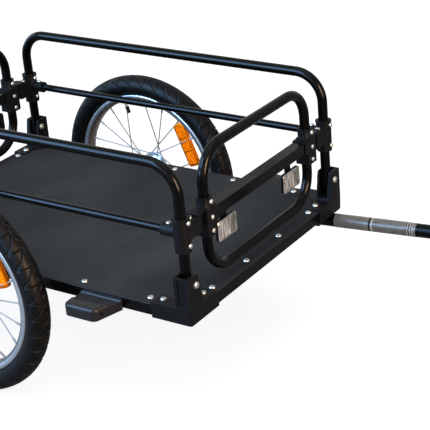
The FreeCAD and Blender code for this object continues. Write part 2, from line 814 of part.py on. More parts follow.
def round_edges(body, name, radius, wanted):
    """Round every edge of a body that passes the test."""
    base = body.Tip
    edges = ["Edge%d" % number for number, edge in enumerate(base.Shape.Edges, start=1)
             if wanted(edge)]
    item = body.newObject("PartDesign::Fillet", name)
    item.Base = (base, edges)
    item.Radius = size(radius)
    bind(item, Radius=radius)
    body.Tip = item
    return item


# Wheel guard: an open-bottomed moulding on the frame's side, with a trough along its top

def make_guard(name):
    body = doc.addObject("PartDesign::Body", "GuardBody")
    skin = sketch_on(body, "GuardOutline", "XY_Plane")
    outline(skin, [
        (GUARD_REAR, SIDE),
        (GUARD_FRONT, SIDE),
        (GUARD_FRONT + " - guard_front_slant", SIDE + " + guard_reach"),
        (GUARD_REAR + " + guard_rear_slant", SIDE + " + guard_reach"),
    ])
    pad(body, "GuardBlock", skin, "guard_height", "-guard_top - guard_height")
    doc.recompute()
    reach = size(SIDE + " + guard_reach")

    def at_tip(edge):
        return is_upright(edge) and edge.CenterOfMass.y > reach - size("guard_wall")

    round_edges(body, "GuardCorners", "guard_round", at_tip)
    doc.recompute()
    top = -size("guard_top")

    def on_rim(edge):
        middle = edge.CenterOfMass
        level = edge.BoundBox.ZLength < size("match_tolerance")
        return level and abs(middle.z - top) < size("match_tolerance") and middle.y > size(SIDE + " + overrun")

    round_edges(body, "GuardRim", "guard_edge_round", on_rim)
    cut_trough(body)
    hollow = sketch_on(body, "GuardHollowOutline", "XY_Plane")
    tip = SIDE + " + guard_reach - guard_wall - guard_edge_round"
    outline(hollow, [
        (GUARD_REAR + " + guard_wall", SIDE + " + guard_wall"),
        (GUARD_FRONT + " - 2 * guard_wall", SIDE + " + guard_wall"),
        (GUARD_FRONT + " - guard_front_slant - guard_wall - guard_edge_round", tip),
        (GUARD_REAR + " + guard_rear_slant + guard_wall + guard_edge_round", tip),
    ])
    sink(body, "GuardHollow", hollow, "guard_height - guard_wall - guard_trough_depth",
         "-guard_top - guard_height", True)
    hole = rod("GuardHole", "guard_hole / 2", "guard_length / 2 + overrun", "X",
               GUARD_FRONT + " - guard_length / 2", SIDE + " + guard_hole_reach",
               "-guard_top - guard_height + guard_hole_height")
    return cut(name, body, hole)


def cut_trough(body):
    """A trough along the top: flat beside the frame's flange, then rising to the nose."""
    trough = sketch_on(body, "GuardTroughOutline", "YZ_Plane")
    outline(trough, [
        (SIDE + " + guard_wall", "-guard_top - guard_trough_depth"),
        (SIDE + " + guard_trough_flat", "-guard_top - guard_trough_depth"),
        (SIDE + " + guard_trough_end", "-guard_top"),
        (SIDE + " + guard_trough_end", "-guard_top + overrun"),
        (SIDE + " + guard_wall", "-guard_top + overrun"),
    ])
    item = body.newObject("PartDesign::Pocket", "GuardTrough")
    item.Profile = trough
    item.Type = "ThroughAll"
    item.Midplane = True
    body.Tip = item
    doc.recompute()
    root_y, root_z = size(SIDE + " + guard_wall"), -size("guard_top + guard_trough_depth")

    def at_root(edge):
        middle = edge.CenterOfMass
        near = abs(middle.y - root_y) < size("match_tolerance")
        return is_along_x(edge) and near and abs(middle.z - root_z) < size("match_tolerance")

    round_edges(body, "GuardTroughRound", "guard_trough_round", at_root)


# Screws and bolts, grouped by the part that carries them

def prism(radius, length, x, y, z):
    """An upright many-sided bar, used where a round one would only be seen end on."""
    corners = []
    for step in range(SPOKE_SIDES + 1):
        angle = 2 * math.pi * step / SPOKE_SIDES
        corners.append(V(x + radius * math.cos(angle), y + radius * math.sin(angle), z))
    return Part.Face(Part.makePolygon(corners)).extrude(V(0, 0, length))


def screw_shape(head, length):
    """A low round head that sits on the XY plane, with its shank below."""
    top = Part.makeCylinder(size(head) / 2, size("head_height"))
    shank = prism(size("shank_diameter") / 2, length, 0, 0, -length)
    return top.fuse(shank).removeSplitter()


def turned(shape, rotation, x, y, z):
    item = shape.copy()
    item.Placement = FreeCAD.Placement(V(x, y, z), rotation)
    return item


def make_deck_screws(name):
    shape = screw_shape("head_diameter", size("shank_length"))
    inset = size("screw_inset")
    side = size(SIDE) - inset
    end = size(END) - inset
    flange = size("corner_flange")
    arm_x = size("frame_length / 2 - corner_side_arm + corner_side_screw_from_end")
    arm_y = size("frame_width / 2 - corner_end_arm + corner_end_screw_from_end")
    side_row = size("frame_length / 2 - corner_side_arm - side_screw_from_corner")
    end_row = size("frame_width / 2 - corner_end_arm - end_screw_from_corner")
    spots = []
    for share in SIDE_SCREW_SHARES:
        for sign in (-1, 1):
            spots.append((share * side_row, sign * side, 0))
    for share in END_SCREW_SHARES:
        for sign in (-1, 1):
            spots.append((sign * end, share * end_row, 0))
    for sign_x in (-1, 1):
        for sign_y in (-1, 1):
            spots.append((sign_x * arm_x, sign_y * side, flange))
            spots.append((sign_x * end, sign_y * arm_y, flange))
    solids = [turned(shape, TURNS["Z"], *spot) for spot in spots]
    small = screw_shape("tee_head_diameter", size("tee_screw_length"))
    wall = size(SIDE + " + guard_wall")
    for along in (GUARD_REAR + " + guard_screw_from_rear", GUARD_FRONT + " - guard_screw_from_front"):
        for sign in (-1, 1):
            out = TURNS["Y"] if sign > 0 else TURNS["-Y"]
            solids.append(turned(small, out, size(along), sign * wall, -size("guard_screw_level")))
    return feature(name, Part.makeCompound(solids))


def make_tee_screws(name):
    """Two screws on each post, one on each socket and the block's through bolt."""
    x, y = size(POST_X), size(POST_Y)
    outer = size("tee_sleeve_diameter") / 2
    shape = screw_shape("tee_head_diameter", size("tee_screw_length"))
    bolt = block_bolt()
    solids = []
    for sign in (-1, 1):
        for height in ("tee_screw_low", "tee_screw_high"):
            solids.append(turned(shape, TURNS["X"], sign * x + outer, y, size(height)))
        socket_top = size("mid_rail_height + tee_socket_diameter / 2")
        socket_x = sign * (x - size("socket_screw_from_post"))
        solids.append(turned(shape, TURNS["Z"], socket_x, y, socket_top))
        bolt_y = y - size("block_bolt_from_post")
        solids.append(turned(bolt, TURNS["Z"], sign * x, bolt_y, size("block_top")))
    return feature(name, Part.makeCompound(solids))


def block_bolt():
    """A bolt down through the tee's block, with its nut under the block."""
    length = size("block_top - block_bottom")
    head = Part.makeCylinder(size("block_bolt_head") / 2, size("head_height"))
    shank = prism(size("shank_diameter") / 2, length, 0, 0, -length)
    nut_height = size("block_nut_height")
    nut = prism(size("tee_head_diameter") / 2, nut_height, 0, 0, -length - nut_height)
    return head.fuse([shank, nut]).removeSplitter()


def make_gate_screws(name, end_sign):
    """Three screws down each clamp, all with their heads towards the front."""
    x, y = end_sign * size(POST_X), size(GATE_Y)
    column = x + size("crossbar_depth / 2 + clamp_socket_wall")
    sleeve = x + size("clamp_width") / 2
    shape = screw_shape("tee_head_diameter", size("tee_screw_length"))
    solids = []
    for sign in (-1, 1):
        for height in ("clamp_screw_middle", "clamp_screw_low"):
            solids.append(turned(shape, TURNS["X"], column, sign * y, size(height)))
        solids.append(turned(shape, TURNS["X"], sleeve, sign * y, size("clamp_screw_high")))
    return feature(name, Part.makeCompound(solids))


def make_pivot_bolts(name):
    """Four bolts along X through the towers, with every head towards the front."""
    outer = size(CORNER_X)
    inner = size(POST_X + " - rail_diameter / 2 - post_clearance - tower_ear")
    radius = size("pivot_diameter / 2 - pivot_clearance")
    grip = outer - inner
    head = Part.makeCylinder(size("pivot_head_diameter") / 2, size("pivot_head_height"))
    shank = Part.makeCylinder(radius, grip, V(0, 0, -grip))
    nut_height = size("pivot_nut_height")
    nut = prism(size("pivot_head_diameter") / 2, nut_height, 0, 0, -grip - nut_height)
    shape = head.fuse([shank, nut]).removeSplitter()
    solids = []
    for head_x in (outer, -inner):
        for sign in (-1, 1):
            spot = (head_x, sign * size(POST_Y), size("pivot_height"))
            solids.append(turned(shape, TURNS["X"], *spot))
    return feature(name, Part.makeCompound(solids))


# Wheels, drawn round the left axle

def turned_body(name, corners, prefix):
    """A body of revolution round the axle: corners give the side offset and the radius."""
    body = doc.addObject("PartDesign::Body", name)
    half = sketch_on(body, prefix + "Section", "YZ_Plane")
    outline(half, corners)
    item = body.newObject("PartDesign::Revolution", prefix + "Turn")
    item.Profile = half
    item.ReferenceAxis = (half, ["H_Axis"])
    item.Angle = 360
    body.Tip = item
    place(body, AXLE_X, "0", AXLE_Z)
    return body


def make_rim(name):
    middle = WHEEL_MIDDLE
    outer = "rim_width / 2"
    inner = "rim_width / 2 - rim_wall"
    return turned_body(name, [
        (middle + " - " + outer, "rim_radius"),
        (middle + " - " + outer, "rim_well"),
        (middle + " - rim_crown_width / 2", "rim_inner"),
        (middle + " + rim_crown_width / 2", "rim_inner"),
        (middle + " + " + outer, "rim_well"),
        (middle + " + " + outer, "rim_radius"),
        (middle + " + " + inner, "rim_radius"),
        (middle + " + " + inner, "rim_seat"),
        (middle + " + rim_well_width / 2", "rim_well"),
        (middle + " - rim_well_width / 2", "rim_well"),
        (middle + " - rim_width / 2 + rim_wall", "rim_seat"),
        (middle + " - rim_width / 2 + rim_wall", "rim_radius"),
    ], "Rim")


def make_hub(name):
    middle = WHEEL_MIDDLE
    end = "hub_length / 2"
    flange_out = "(hub_length / 2 - hub_flange_inset)"
    flange_in = "(hub_length / 2 - hub_flange_inset - hub_flange_thickness)"
    seat = "(hub_length / 2 - bearing_width)"
    shell = "hub_diameter / 2"
    flange = "hub_flange_diameter / 2"
    bore = "axle_diameter / 2 + hub_bore_room"
    race = "bearing_diameter / 2"
    return turned_body(name, [
        (middle + " - " + end, race),
        (middle + " - " + end, shell),
        (middle + " - " + flange_out, shell),
        (middle + " - " + flange_out, flange),
        (middle + " - " + flange_in, flange),
        (middle + " - " + flange_in, shell),
        (middle + " + " + flange_in, shell),
        (middle + " + " + flange_in, flange),
        (middle + " + " + flange_out, flange),
        (middle + " + " + flange_out, shell),
        (middle + " + " + end, shell),
        (middle + " + " + end, race),
        (middle + " + " + seat, race),
        (middle + " + " + seat, bore),
        (middle + " - " + seat, bore),
        (middle + " - " + seat, race),
    ], "Hub")


def make_bearings(name):
    rings = []
    for side, start in (("Inner", WHEEL_MIDDLE + " - hub_length / 2"),
                        ("Outer", WHEEL_MIDDLE + " + hub_length / 2 - bearing_width")):
        outer = rod("Race" + side, "bearing_diameter / 2", "bearing_width", "Y",
                    AXLE_X, start, AXLE_Z)
        bore = rod("RaceBore" + side, "axle_diameter / 2 + axle_clearance",
                   "bearing_width + 2 * overrun", "Y", AXLE_X, start + " - overrun",
                   AXLE_Z)
        rings.append(cut("Bearing" + side, outer, bore))
    return group(name, *rings)


def make_tyre(name):
    """The tyre's section: sidewalls and tread are arcs through three named places."""
    foot = size("tyre_foot_width") / 2
    base = size("rim_seat") + size("seat_gap")
    knee = size("rim_radius") + size("overrun")
    bulge = size("tyre_width") / 2
    tread = size("tread_width") / 2
    shoulder = size("tyre_radius") - size("tread_drop")
    middle = size(WHEEL_MIDDLE)

    def at(side, radius):
        return V(0, middle + side, radius)

    edges = [
        Part.LineSegment(at(foot, base), at(foot, knee)),
        Part.Arc(at(foot, knee), at(bulge, size("tyre_shoulder")), at(tread, shoulder)),
        Part.Arc(at(tread, shoulder), at(0, size("tyre_radius")), at(-tread, shoulder)),
        Part.Arc(at(-tread, shoulder), at(-bulge, size("tyre_shoulder")), at(-foot, knee)),
        Part.LineSegment(at(-foot, knee), at(-foot, base)),
        Part.LineSegment(at(-foot, base), at(foot, base)),
    ]
    wire = Part.Wire([edge.toShape() for edge in edges])
    solid = Part.Face(wire).revolve(V(0, 0, 0), AXIS_Y, 360)
    item = feature(name, solid)
    place(item, AXLE_X, "0", AXLE_Z)
    return item


def spoke_shape(start, end):
    """A straight spoke with a many-sided section between two points."""
    along = end - start
    solid = prism(size("spoke_diameter") / 2, along.Length, 0, 0, 0)
    solid.Placement = FreeCAD.Placement(start, FreeCAD.Rotation(AXIS_Z, along))
    return solid


def make_spokes(name):
    """Spokes leave the flanges in turn, alternately leading and trailing."""
    count = int(size("spoke_count"))
    flange = size("hub_length / 2 - hub_flange_inset - hub_flange_thickness / 2")
    hub_radius = size("spoke_circle")
    rim_radius = size("rim_inner + spoke_seat")
    middle = size(WHEEL_MIDDLE)
    aside = size("hub_flange_thickness / 2 + spoke_diameter / 2")
    solids = []
    for number in range(count):
        side = 1 if number % 2 else -1
        lead = 1 if (number // 2) % 2 else -1
        rim_angle = 2 * math.pi * number / count
        hub_angle = rim_angle + lead * math.radians(size("spoke_lace_angle"))
        start = V(hub_radius * math.cos(hub_angle), middle + side * (flange + lead * aside),
                  hub_radius * math.sin(hub_angle))
        end = V(rim_radius * math.cos(rim_angle), middle, rim_radius * math.sin(rim_angle))
        solids.append(spoke_shape(start, end))
    item = feature(name, Part.makeCompound(solids))
    place(item, AXLE_X, "0", AXLE_Z)
    return item


def make_ambers(name):
    """Two amber reflectors clipped between the spokes, opposite each other."""
    length, width = size("amber_length"), size("amber_width")
    thickness, middle = size("amber_thickness"), size(WHEEL_MIDDLE)
    bar = Part.makeBox(width, thickness, length, V(-width / 2, -thickness / 2, -length / 2))
    upright = [edge for edge in bar.Edges if span(edge)[1] > STRAIGHT_SHARE * edge.Length]
    bar = bar.makeFillet(width / 4, upright)
    solids = []
    for half_turn in (0, 180):
        angle = math.radians(size("amber_angle") + half_turn)
        spot = V(size("amber_radius") * math.cos(angle), middle,
                 size("amber_radius") * math.sin(angle))
        lean = size("amber_tilt_angle") - size("amber_angle") - half_turn
        item = bar.copy()
        item.Placement = FreeCAD.Placement(spot, FreeCAD.Rotation(AXIS_Y, lean))
        solids.append(item)
    item = feature(name, Part.makeCompound(solids))
    place(item, AXLE_X, "0", AXLE_Z)
    return item


# Quick-release axle: a shaft in the beam's bush, with a collar, an end cap and a push button

def make_axle(name):
    hub_end = WHEEL_MIDDLE + " + hub_length / 2 + cap_gap"
    shaft = rod("AxleShaft", "axle_diameter / 2", "wheel_from_frame + hub_length / 2 + cap_gap + axle_insert", "Y",
                AXLE_X, SIDE + " - axle_insert", AXLE_Z)
    collar = rod("AxleCollar", "collar_diameter / 2",
                 "wheel_from_frame - hub_length / 2 - 2 * cap_gap", "Y",
                 AXLE_X, SIDE + " + cap_gap", AXLE_Z)
    cap = rod("AxleCap", "cap_diameter / 2", "cap_thickness", "Y", AXLE_X, hub_end,
              AXLE_Z)
    bore = rod("AxleButtonBore", "button_diameter / 2 + axle_clearance",
               "button_length + cap_thickness", "Y", AXLE_X,
               hub_end + " - button_length + button_stand", AXLE_Z)
    return cut(name, fuse("AxleBody", shaft, collar, cap), bore)


def make_button(name):
    return rod(name, "button_diameter / 2", "button_length", "Y", AXLE_X,
               WHEEL_MIDDLE + " + hub_length / 2 + cap_gap + cap_thickness + button_stand - button_length",
               AXLE_Z)


# Drawbar, its socket under the frame and the hitch, all on one sloping line

def slope_turn():
    return FreeCAD.Rotation(AXIS_Y, -size("drawbar_slope_angle"))


def on_slope(x, y, z):
    """A point given along, left of and above the drawbar's line."""
    datum = V(size(END + " - drawbar_set_back"), size(SIDE + " - drawbar_from_side"),
              size(FRAME_BOTTOM + " - drawbar_below_frame"))
    return datum + slope_turn().multVec(V(x, y, z))


def settle(shape, x=0, y=0, z=0):
    """Put a shape drawn along the drawbar's line in its place on the trailer."""
    shape.translate(V(x, y, z))
    shape.Placement = FreeCAD.Placement(on_slope(0, 0, 0), slope_turn()).multiply(shape.Placement)
    return shape


def cylinder_along(axis, radius, length, x, y, z):
    """A cylinder that starts at a point on the drawbar's own axes."""
    return Part.makeCylinder(radius, length, V(x, y, z), axis)


def make_drawbar(name):
    """The bent tube and the fork welded to its front end."""
    radius = size("drawbar_diameter") / 2
    rear = V(-size("drawbar_rear"), 0, 0)
    turn = math.radians(size("drawbar_turn_angle"))
    shift, bend = size("drawbar_shift"), size("drawbar_bend")
    knee = V(size("drawbar_straight"), 0, 0)
    elbow = V(knee.x + shift / math.tan(turn), -shift, 0)
    nose = V(elbow.x + size("drawbar_nose"), -shift, 0)
    path = Part.Wire(rounded([rear, knee, elbow, nose], bend))
    ring = Part.Wire(Part.makeCircle(radius, rear, AXIS_X))
    tube = path.makePipeShell([ring], True, False)
    tube.rotate(V(0, 0, 0), AXIS_X, -size("drawbar_roll_angle"))
    fork = fork_shape().translated(fork_point())
    return feature(name, settle(tube.fuse(fork)))


def rounded(points, radius):
    """Straight runs through points, joined by tangent arcs of one radius."""
    edges = []
    start = points[0]
    for before, corner, after in zip(points, points[1:], points[2:]):
        back = (before - corner).normalize()
        ahead = (after - corner).normalize()
        half = back.getAngle(ahead) / 2
        reach = radius / math.tan(half)
        first = corner + back * reach
        last = corner + ahead * reach
        middle = (back + ahead).normalize() * (radius / math.sin(half) - radius) + corner
        edges.append(Part.LineSegment(start, first).toShape())
        edges.append(Part.Arc(first, middle, last).toShape())
        start = last
    edges.append(Part.LineSegment(start, points[-1]).toShape())
    return edges


def fork_point():
    """Where the drawbar's front end lies, on its own axes."""
    roll = math.radians(size("drawbar_roll_angle"))
    shift = size("drawbar_shift")
    turn = math.radians(size("drawbar_turn_angle"))
    along = size("drawbar_straight") + shift / math.tan(turn) + size("drawbar_nose")
    return V(along, -shift * math.cos(roll), shift * math.sin(roll))


def fork_shape():
    """A block with two eared plates, seen from the tube's end at its origin."""
    length, width = size("fork_length"), size("fork_width")
    gap, plate = size("fork_gap"), size("fork_plate")
    tall = gap + 2 * plate
    yaw = yaw_offset()
    body = Part.makeBox(yaw + plate, width, tall, V(-plate, -width / 2, -tall / 2))
    ears = Part.makeCylinder(width / 2, tall, V(yaw, 0, -tall / 2))
    mouth = Part.makeBox(length + width, width + 2 * plate, gap,
                         V(yaw - width / 2, -width / 2 - plate, -gap / 2))
    hole = Part.makeCylinder(size("hitch_pin") / 2, tall + 2 * plate, V(yaw, 0, -tall / 2 - plate))
    return body.fuse(ears).cut(mouth).cut(hole)


def yaw_offset():
    """How far ahead of the tube's end the upright hitch pin stands."""
    return size("fork_length") - size("fork_width") / 2


def make_wrap(name):
    """The bare film wrapped round the drawbar's rear half."""
    radius, film = size("drawbar_diameter") / 2, size("wrap_thickness")
    start, length = size("wrap_start"), size("wrap_length")
    outer = cylinder_along(AXIS_X, radius + film, length, start, 0, 0)
    inner = cylinder_along(AXIS_X, radius, length + 2 * film, start - film, 0, 0)
    return feature(name, settle(outer.cut(inner)))


def make_drawbar_pins(name):
    """The key that seats in the socket's slots and the hitch's upright pin."""
    radius, stand = size("drawbar_diameter") / 2, size("key_stand")
    key_x = -size("sleeve_front") - size("key_from_front")
    half = radius + stand
    key = cylinder_along(AXIS_Y, size("key_diameter") / 2, 2 * half, key_x, -half, 0)
    point = fork_point()
    yaw = point + V(yaw_offset(), 0, 0)
    tall = size("fork_gap + 2 * fork_plate")
    pin = cylinder_along(AXIS_Z, size("hitch_pin") / 2, tall, yaw.x, yaw.y, yaw.z - tall / 2)
    head = size("pin_head_height")
    for base in (yaw.z + tall / 2, yaw.z - tall / 2 - head):
        pin = pin.fuse(cylinder_along(AXIS_Z, size("pin_head_diameter") / 2, head, yaw.x, yaw.y, base))
    return feature(name, settle(Part.makeCompound([key, pin.removeSplitter()])))


def make_knuckle(name):
    """The hitch's middle piece, with the level pin riveted through its front."""
    tall, width = size("knuckle_height"), size("knuckle_width")
    reach, slot = size("pitch_from_yaw"), size("knuckle_slot")
    pin = size("hitch_pin") / 2
    nose = size("coupler_width") / 2
    body = Part.makeBox(reach + nose, width, tall, V(0, -width / 2, -tall / 2))
    body = body.fuse(Part.makeCylinder(width / 2, tall, V(0, 0, -tall / 2)))
    back = reach - nose - size("overrun")
    body = body.cut(Part.makeBox(nose * 3, slot, 2 * tall, V(back, -slot / 2, -tall)))
    body = body.cut(Part.makeCylinder(pin + size("axle_clearance"), 2 * tall, V(0, 0, -tall)))
    head = size("pin_head_height")
    rivet = Part.makeCylinder(pin, width, V(reach, -width / 2, 0), AXIS_Y)
    for base in (-width / 2 - head, width / 2):
        cap = Part.makeCylinder(size("pin_head_diameter") / 2, head, V(reach, base, 0), AXIS_Y)
        rivet = rivet.fuse(cap)
    yaw = fork_point() + V(yaw_offset(), 0, 0)
    return feature(name, settle(body.fuse(rivet).removeSplitter(), yaw.x, yaw.y, yaw.z))


def make_coupler(name):
    """The flat arm that bolts to the bicycle's rear axle."""
    width, thick = size("coupler_width"), size("coupler_thickness")
    length = size("coupler_length")
    body = Part.makeBox(length, thick, width, V(0, -thick / 2, -width / 2))
    for end in (0, length):
        body = body.fuse(Part.makeCylinder(width / 2, thick, V(end, -thick / 2, 0), AXIS_Y))
    pin = size("hitch_pin") / 2 + size("axle_clearance")
    body = body.cut(Part.makeCylinder(pin, 3 * thick, V(0, -1.5 * thick, 0), AXIS_Y))
    bore = size("coupler_bore") / 2
    body = body.cut(Part.makeCylinder(bore, 3 * thick, V(length, -1.5 * thick, 0), AXIS_Y))
    spot = fork_point() + V(yaw_offset() + size("pitch_from_yaw"), 0, 0)
    return feature(name, settle(body.removeSplitter(), spot.x, spot.y, spot.z))


def make_socket(name):
    """The sleeve that holds the drawbar, on two saddle plates welded to the side tube."""
    wall, length = size("sleeve_wall"), size("sleeve_length")
    bore = size("drawbar_diameter") / 2 + size("sleeve_clearance")
    outer = bore + wall
    front = -size("sleeve_front")
    over = size("overrun")
    sleeve = cylinder_along(AXIS_X, outer, length, front - length, 0, 0)
    boss_x = -size("knob_place")
    boss = cylinder_along(AXIS_Z, size("boss_diameter") / 2, size("boss_height") + outer,
                          boss_x, 0, -outer - size("boss_height"))
    body = settle(sleeve.fuse(boss))
    top = -size("deck_thickness + frame_tube")
    for along in ("saddle_front", "saddle_rear"):
        spot = on_slope(-size(along), 0, 0)
        low = spot.z - outer / 2
        plate = Part.makeBox(size("saddle_thickness"), 2 * outer, top - low,
                             V(spot.x, spot.y - outer, low))
        body = body.fuse(plate)
    hollow = cylinder_along(AXIS_X, bore, length + 2 * over, front - length - over, 0, 0)
    slot = size("key_diameter") / 2 + size("sleeve_clearance")
    key_x = front - size("key_from_front")
    notch = Part.makeBox(size("key_from_front") + over, 4 * outer, 2 * slot, V(key_x, -2 * outer, -slot))
    seat = cylinder_along(AXIS_Y, slot, 4 * outer, key_x, -2 * outer, 0)
    screw = cylinder_along(AXIS_Z, size("knob_screw") / 2 + size("axle_clearance"), 2 * outer,
                           boss_x, 0, -2 * outer - size("boss_height") / 2)
    return feature(name, body.cut([settle(hollow), settle(notch), settle(seat), settle(screw)]))


def make_knob(name):
    """A lobed knob whose screw presses on the drawbar."""
    bore = size("drawbar_diameter") / 2
    tip = -bore - size("seat_gap")
    boss_low = -bore - size("sleeve_clearance + sleeve_wall + boss_height")
    top = boss_low - size("seat_gap")
    screw = Part.makeCylinder(size("knob_screw") / 2, tip - top, V(0, 0, top))
    tall, outer, lobe = size("knob_height"), size("knob_diameter") / 2, size("knob_lobe")
    body = Part.makeCylinder(outer - lobe, tall, V(0, 0, top - tall))
    for number in range(KNOB_LOBES):
        angle = 2 * math.pi * number / KNOB_LOBES
        spot = V((outer - lobe) * math.cos(angle), (outer - lobe) * math.sin(angle), top - tall)
        body = body.fuse(Part.makeCylinder(lobe, tall, spot))
    shape = body.fuse(screw).removeSplitter()
    return feature(name, settle(shape, -size("knob_place"), 0, 0))


# Every node: the front left pieces are drawn and the others mirrored across the middle planes

def across(name, source):
    return mirror(name, source, AXIS_Y)


def behind(name, source):
    return mirror(name, source, AXIS_X)


def make_rails():
    left = {
        "side_hoop": make_hoop("left_side_hoop"),
        "mid_rail": make_mid_rail("left_mid_rail"),
        "tee_screws": make_tee_screws("left_tee_screws"),
    }
    tee = make_tee("FrontTee")
    left["tees"] = group("left_tees", tee, behind("RearTee", tee))
    for word, item in left.items():
        across("right_" + word, item)


def make_gates():
    upper = bent_tube("front_upper_hoop", "YZ_Plane", GATE_Y,
                      "gate_split + gate_split_gap / 2", "gate_height", "gate_bend", "rail_diameter")
    lower = bent_tube("front_lower_hoop", "YZ_Plane", GATE_Y,
                      "gate_split - gate_split_gap / 2", "gate_foot", "gate_bend", "rail_diameter")
    for body in (upper, lower):
        place(body, x=POST_X)
    clamp = make_clamp("LeftClamp")
    hanger = make_hanger("LeftHanger")
    reflector = make_reflector("LeftReflector")
    front = {
        "upper_hoop": upper,
        "lower_hoop": lower,
        "crossbar": make_crossbar("front_crossbar"),
        "clamps": group("front_clamps", clamp, across("RightClamp", clamp)),
        "reflectors": group("front_reflectors", reflector, across("RightReflector", reflector)),
        "reflector_hangers": group("front_reflector_hangers", hanger, across("RightHanger", hanger)),
    }
    for word, item in front.items():
        behind("rear_" + word, item)
    make_gate_screws("front_gate_screws", 1)
    make_gate_screws("rear_gate_screws", -1)


def make_wheels():
    left = {
        "tyre": make_tyre("left_tyre"),
        "rim": make_rim("left_rim"),
        "spokes": make_spokes("left_spokes"),
        "hub": make_hub("left_hub"),
        "bearings": make_bearings("left_bearings"),
        "wheel_reflectors": make_ambers("left_wheel_reflectors"),
        "axle": make_axle("left_axle"),
        "axle_button": make_button("left_axle_button"),
    }
    for word, item in left.items():
        across("right_" + word, item)


make_frame()
make_axle_beam()
corner = make_corner("front_left_corner")
across("front_right_corner", corner)
behind("rear_left_corner", corner)
behind("rear_right_corner", doc.getObject("front_right_corner"))
make_deck_screws("deck_screws")
across("right_wheel_guard", make_guard("left_wheel_guard"))
make_pivot_bolts("frame_bolts")
make_socket("drawbar_socket")
make_knob("clamp_knob")
make_drawbar("drawbar_tube")
make_wrap("drawbar_wrap")
make_drawbar_pins("drawbar_pins")
make_knuckle("hitch_knuckle")
make_coupler("hitch_coupler")
make_rails()
make_gates()
make_wheels()

CHASSIS_NODES = [
    "left_frame_tube",
    "right_frame_tube",
    "front_frame_tube",
    "rear_frame_tube",
    "deck_bearer",
    "deck_panel",
    "axle_beam",
    "front_left_corner",
    "front_right_corner",
    "rear_left_corner",
    "rear_right_corner",
    "deck_screws",
    "left_wheel_guard",
    "right_wheel_guard",
    "frame_bolts",
    "drawbar_socket",
    "clamp_knob",
    "drawbar_tube",
    "drawbar_wrap",
    "drawbar_pins",
    "hitch_knuckle",
    "hitch_coupler",
]
RAIL_NODES = ["side_hoop", "mid_rail", "tees", "tee_screws"]
GATE_NODES = [
    "upper_hoop",
    "lower_hoop",
    "crossbar",
    "clamps",
    "gate_screws",
    "reflectors",
    "reflector_hangers",
]
WHEEL_NODES = [
    "tyre",
    "rim",
    "spokes",
    "hub",
    "bearings",
    "wheel_reflectors",
    "axle",
    "axle_button",
]
NODES = list(CHASSIS_NODES)
for hand in ("left_", "right_"):
    NODES += [hand + word for word in RAIL_NODES + WHEEL_NODES]
for end_word in ("front_", "rear_"):
    NODES += [end_word + word for word in GATE_NODES]

doc.recompute()
faults = []
for item in doc.Objects:
    if "Invalid" in item.State or "Error" in item.State:
        faults.append(item.Name + " did not compute")
for node in NODES:
    item = doc.getObject(node)
    if item is None:
        faults.append(node + " is missing")
        continue
    item.Label = node
    if item.Shape.isNull() or not item.Shape.isValid() or not item.Shape.Solids:
        faults.append(node + " has no sound solid")
if faults:
    raise RuntimeError("; ".join(faults))

os.makedirs("parts", exist_ok=True)
for node in NODES:
    doc.getObject(node).Shape.exportStep(os.path.join("parts", node + ".step"))
print("wrote", len(NODES), "parts")
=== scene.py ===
import json
import math

import bmesh
import bpy
from mathutils import Matrix, Vector


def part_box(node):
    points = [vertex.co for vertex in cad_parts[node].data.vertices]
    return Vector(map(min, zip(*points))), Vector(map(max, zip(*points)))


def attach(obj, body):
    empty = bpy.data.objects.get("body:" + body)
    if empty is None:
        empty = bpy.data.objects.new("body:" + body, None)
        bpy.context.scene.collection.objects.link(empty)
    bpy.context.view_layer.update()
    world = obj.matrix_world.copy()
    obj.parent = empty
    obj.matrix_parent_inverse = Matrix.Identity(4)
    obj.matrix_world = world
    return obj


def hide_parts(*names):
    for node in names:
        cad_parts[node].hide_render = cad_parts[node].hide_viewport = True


# Bicycle cargo trailer. X is forward, Y is left, Z is up, and the origin is the middle of the
# deck's top face. Lengths are millimetres and angles are degrees, and MM turns millimetres into
# Blender's metres. Only the lamps are placed in metres.

MM = 0.001

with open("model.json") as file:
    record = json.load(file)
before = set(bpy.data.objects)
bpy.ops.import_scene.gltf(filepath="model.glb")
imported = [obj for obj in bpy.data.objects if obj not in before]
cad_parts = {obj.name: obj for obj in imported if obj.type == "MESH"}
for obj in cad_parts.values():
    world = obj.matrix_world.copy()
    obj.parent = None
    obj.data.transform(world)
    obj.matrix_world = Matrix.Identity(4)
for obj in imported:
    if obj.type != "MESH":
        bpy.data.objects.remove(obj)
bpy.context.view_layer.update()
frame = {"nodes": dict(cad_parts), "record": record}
scene = bpy.context.scene
record = frame["record"]
SLOT_OF = {part["node"]: part["material_slot"] for part in record["subparts"]}
BODY_OF = {node: body for body, nodes in record["behaviour"]["bodies"].items() for node in nodes}

HANDS = (("left", 1), ("right", -1))
ENDS = (("front", 1), ("rear", -1))
AHEAD, BACK = (1, 0, 0), (-1, 0, 0)
LEFTWARD = (0, 1, 0)
UP, DOWN = (0, 0, 1), (0, 0, -1)


# Driving places, read from the CAD nodes to a tenth of a millimetre

def in_millimetres(spot):
    return [round(value / MM, 1) for value in spot]


def lowest_of(node):
    return in_millimetres(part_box(node)[0])


def highest_of(node):
    return in_millimetres(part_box(node)[1])


def middle_of(node):
    low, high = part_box(node)
    return in_millimetres((low + high) / 2)


TUBE_RADIUS = 9.0
MIDDLE_RAIL_RADIUS = 7.0
TYRE_RADIUS = 200.0
WHEEL_X, WHEEL_Y, WHEEL_Z = middle_of("left_rim")
GROUND = WHEEL_Z - TYRE_RADIUS
DECK_HALF_LENGTH, DECK_HALF_WIDTH, _ = highest_of("deck_panel")
POST_X = middle_of("front_clamps")[0]
POST_Y = middle_of("left_mid_rail")[1]
GATE_Y = highest_of("front_upper_hoop")[1] - TUBE_RADIUS


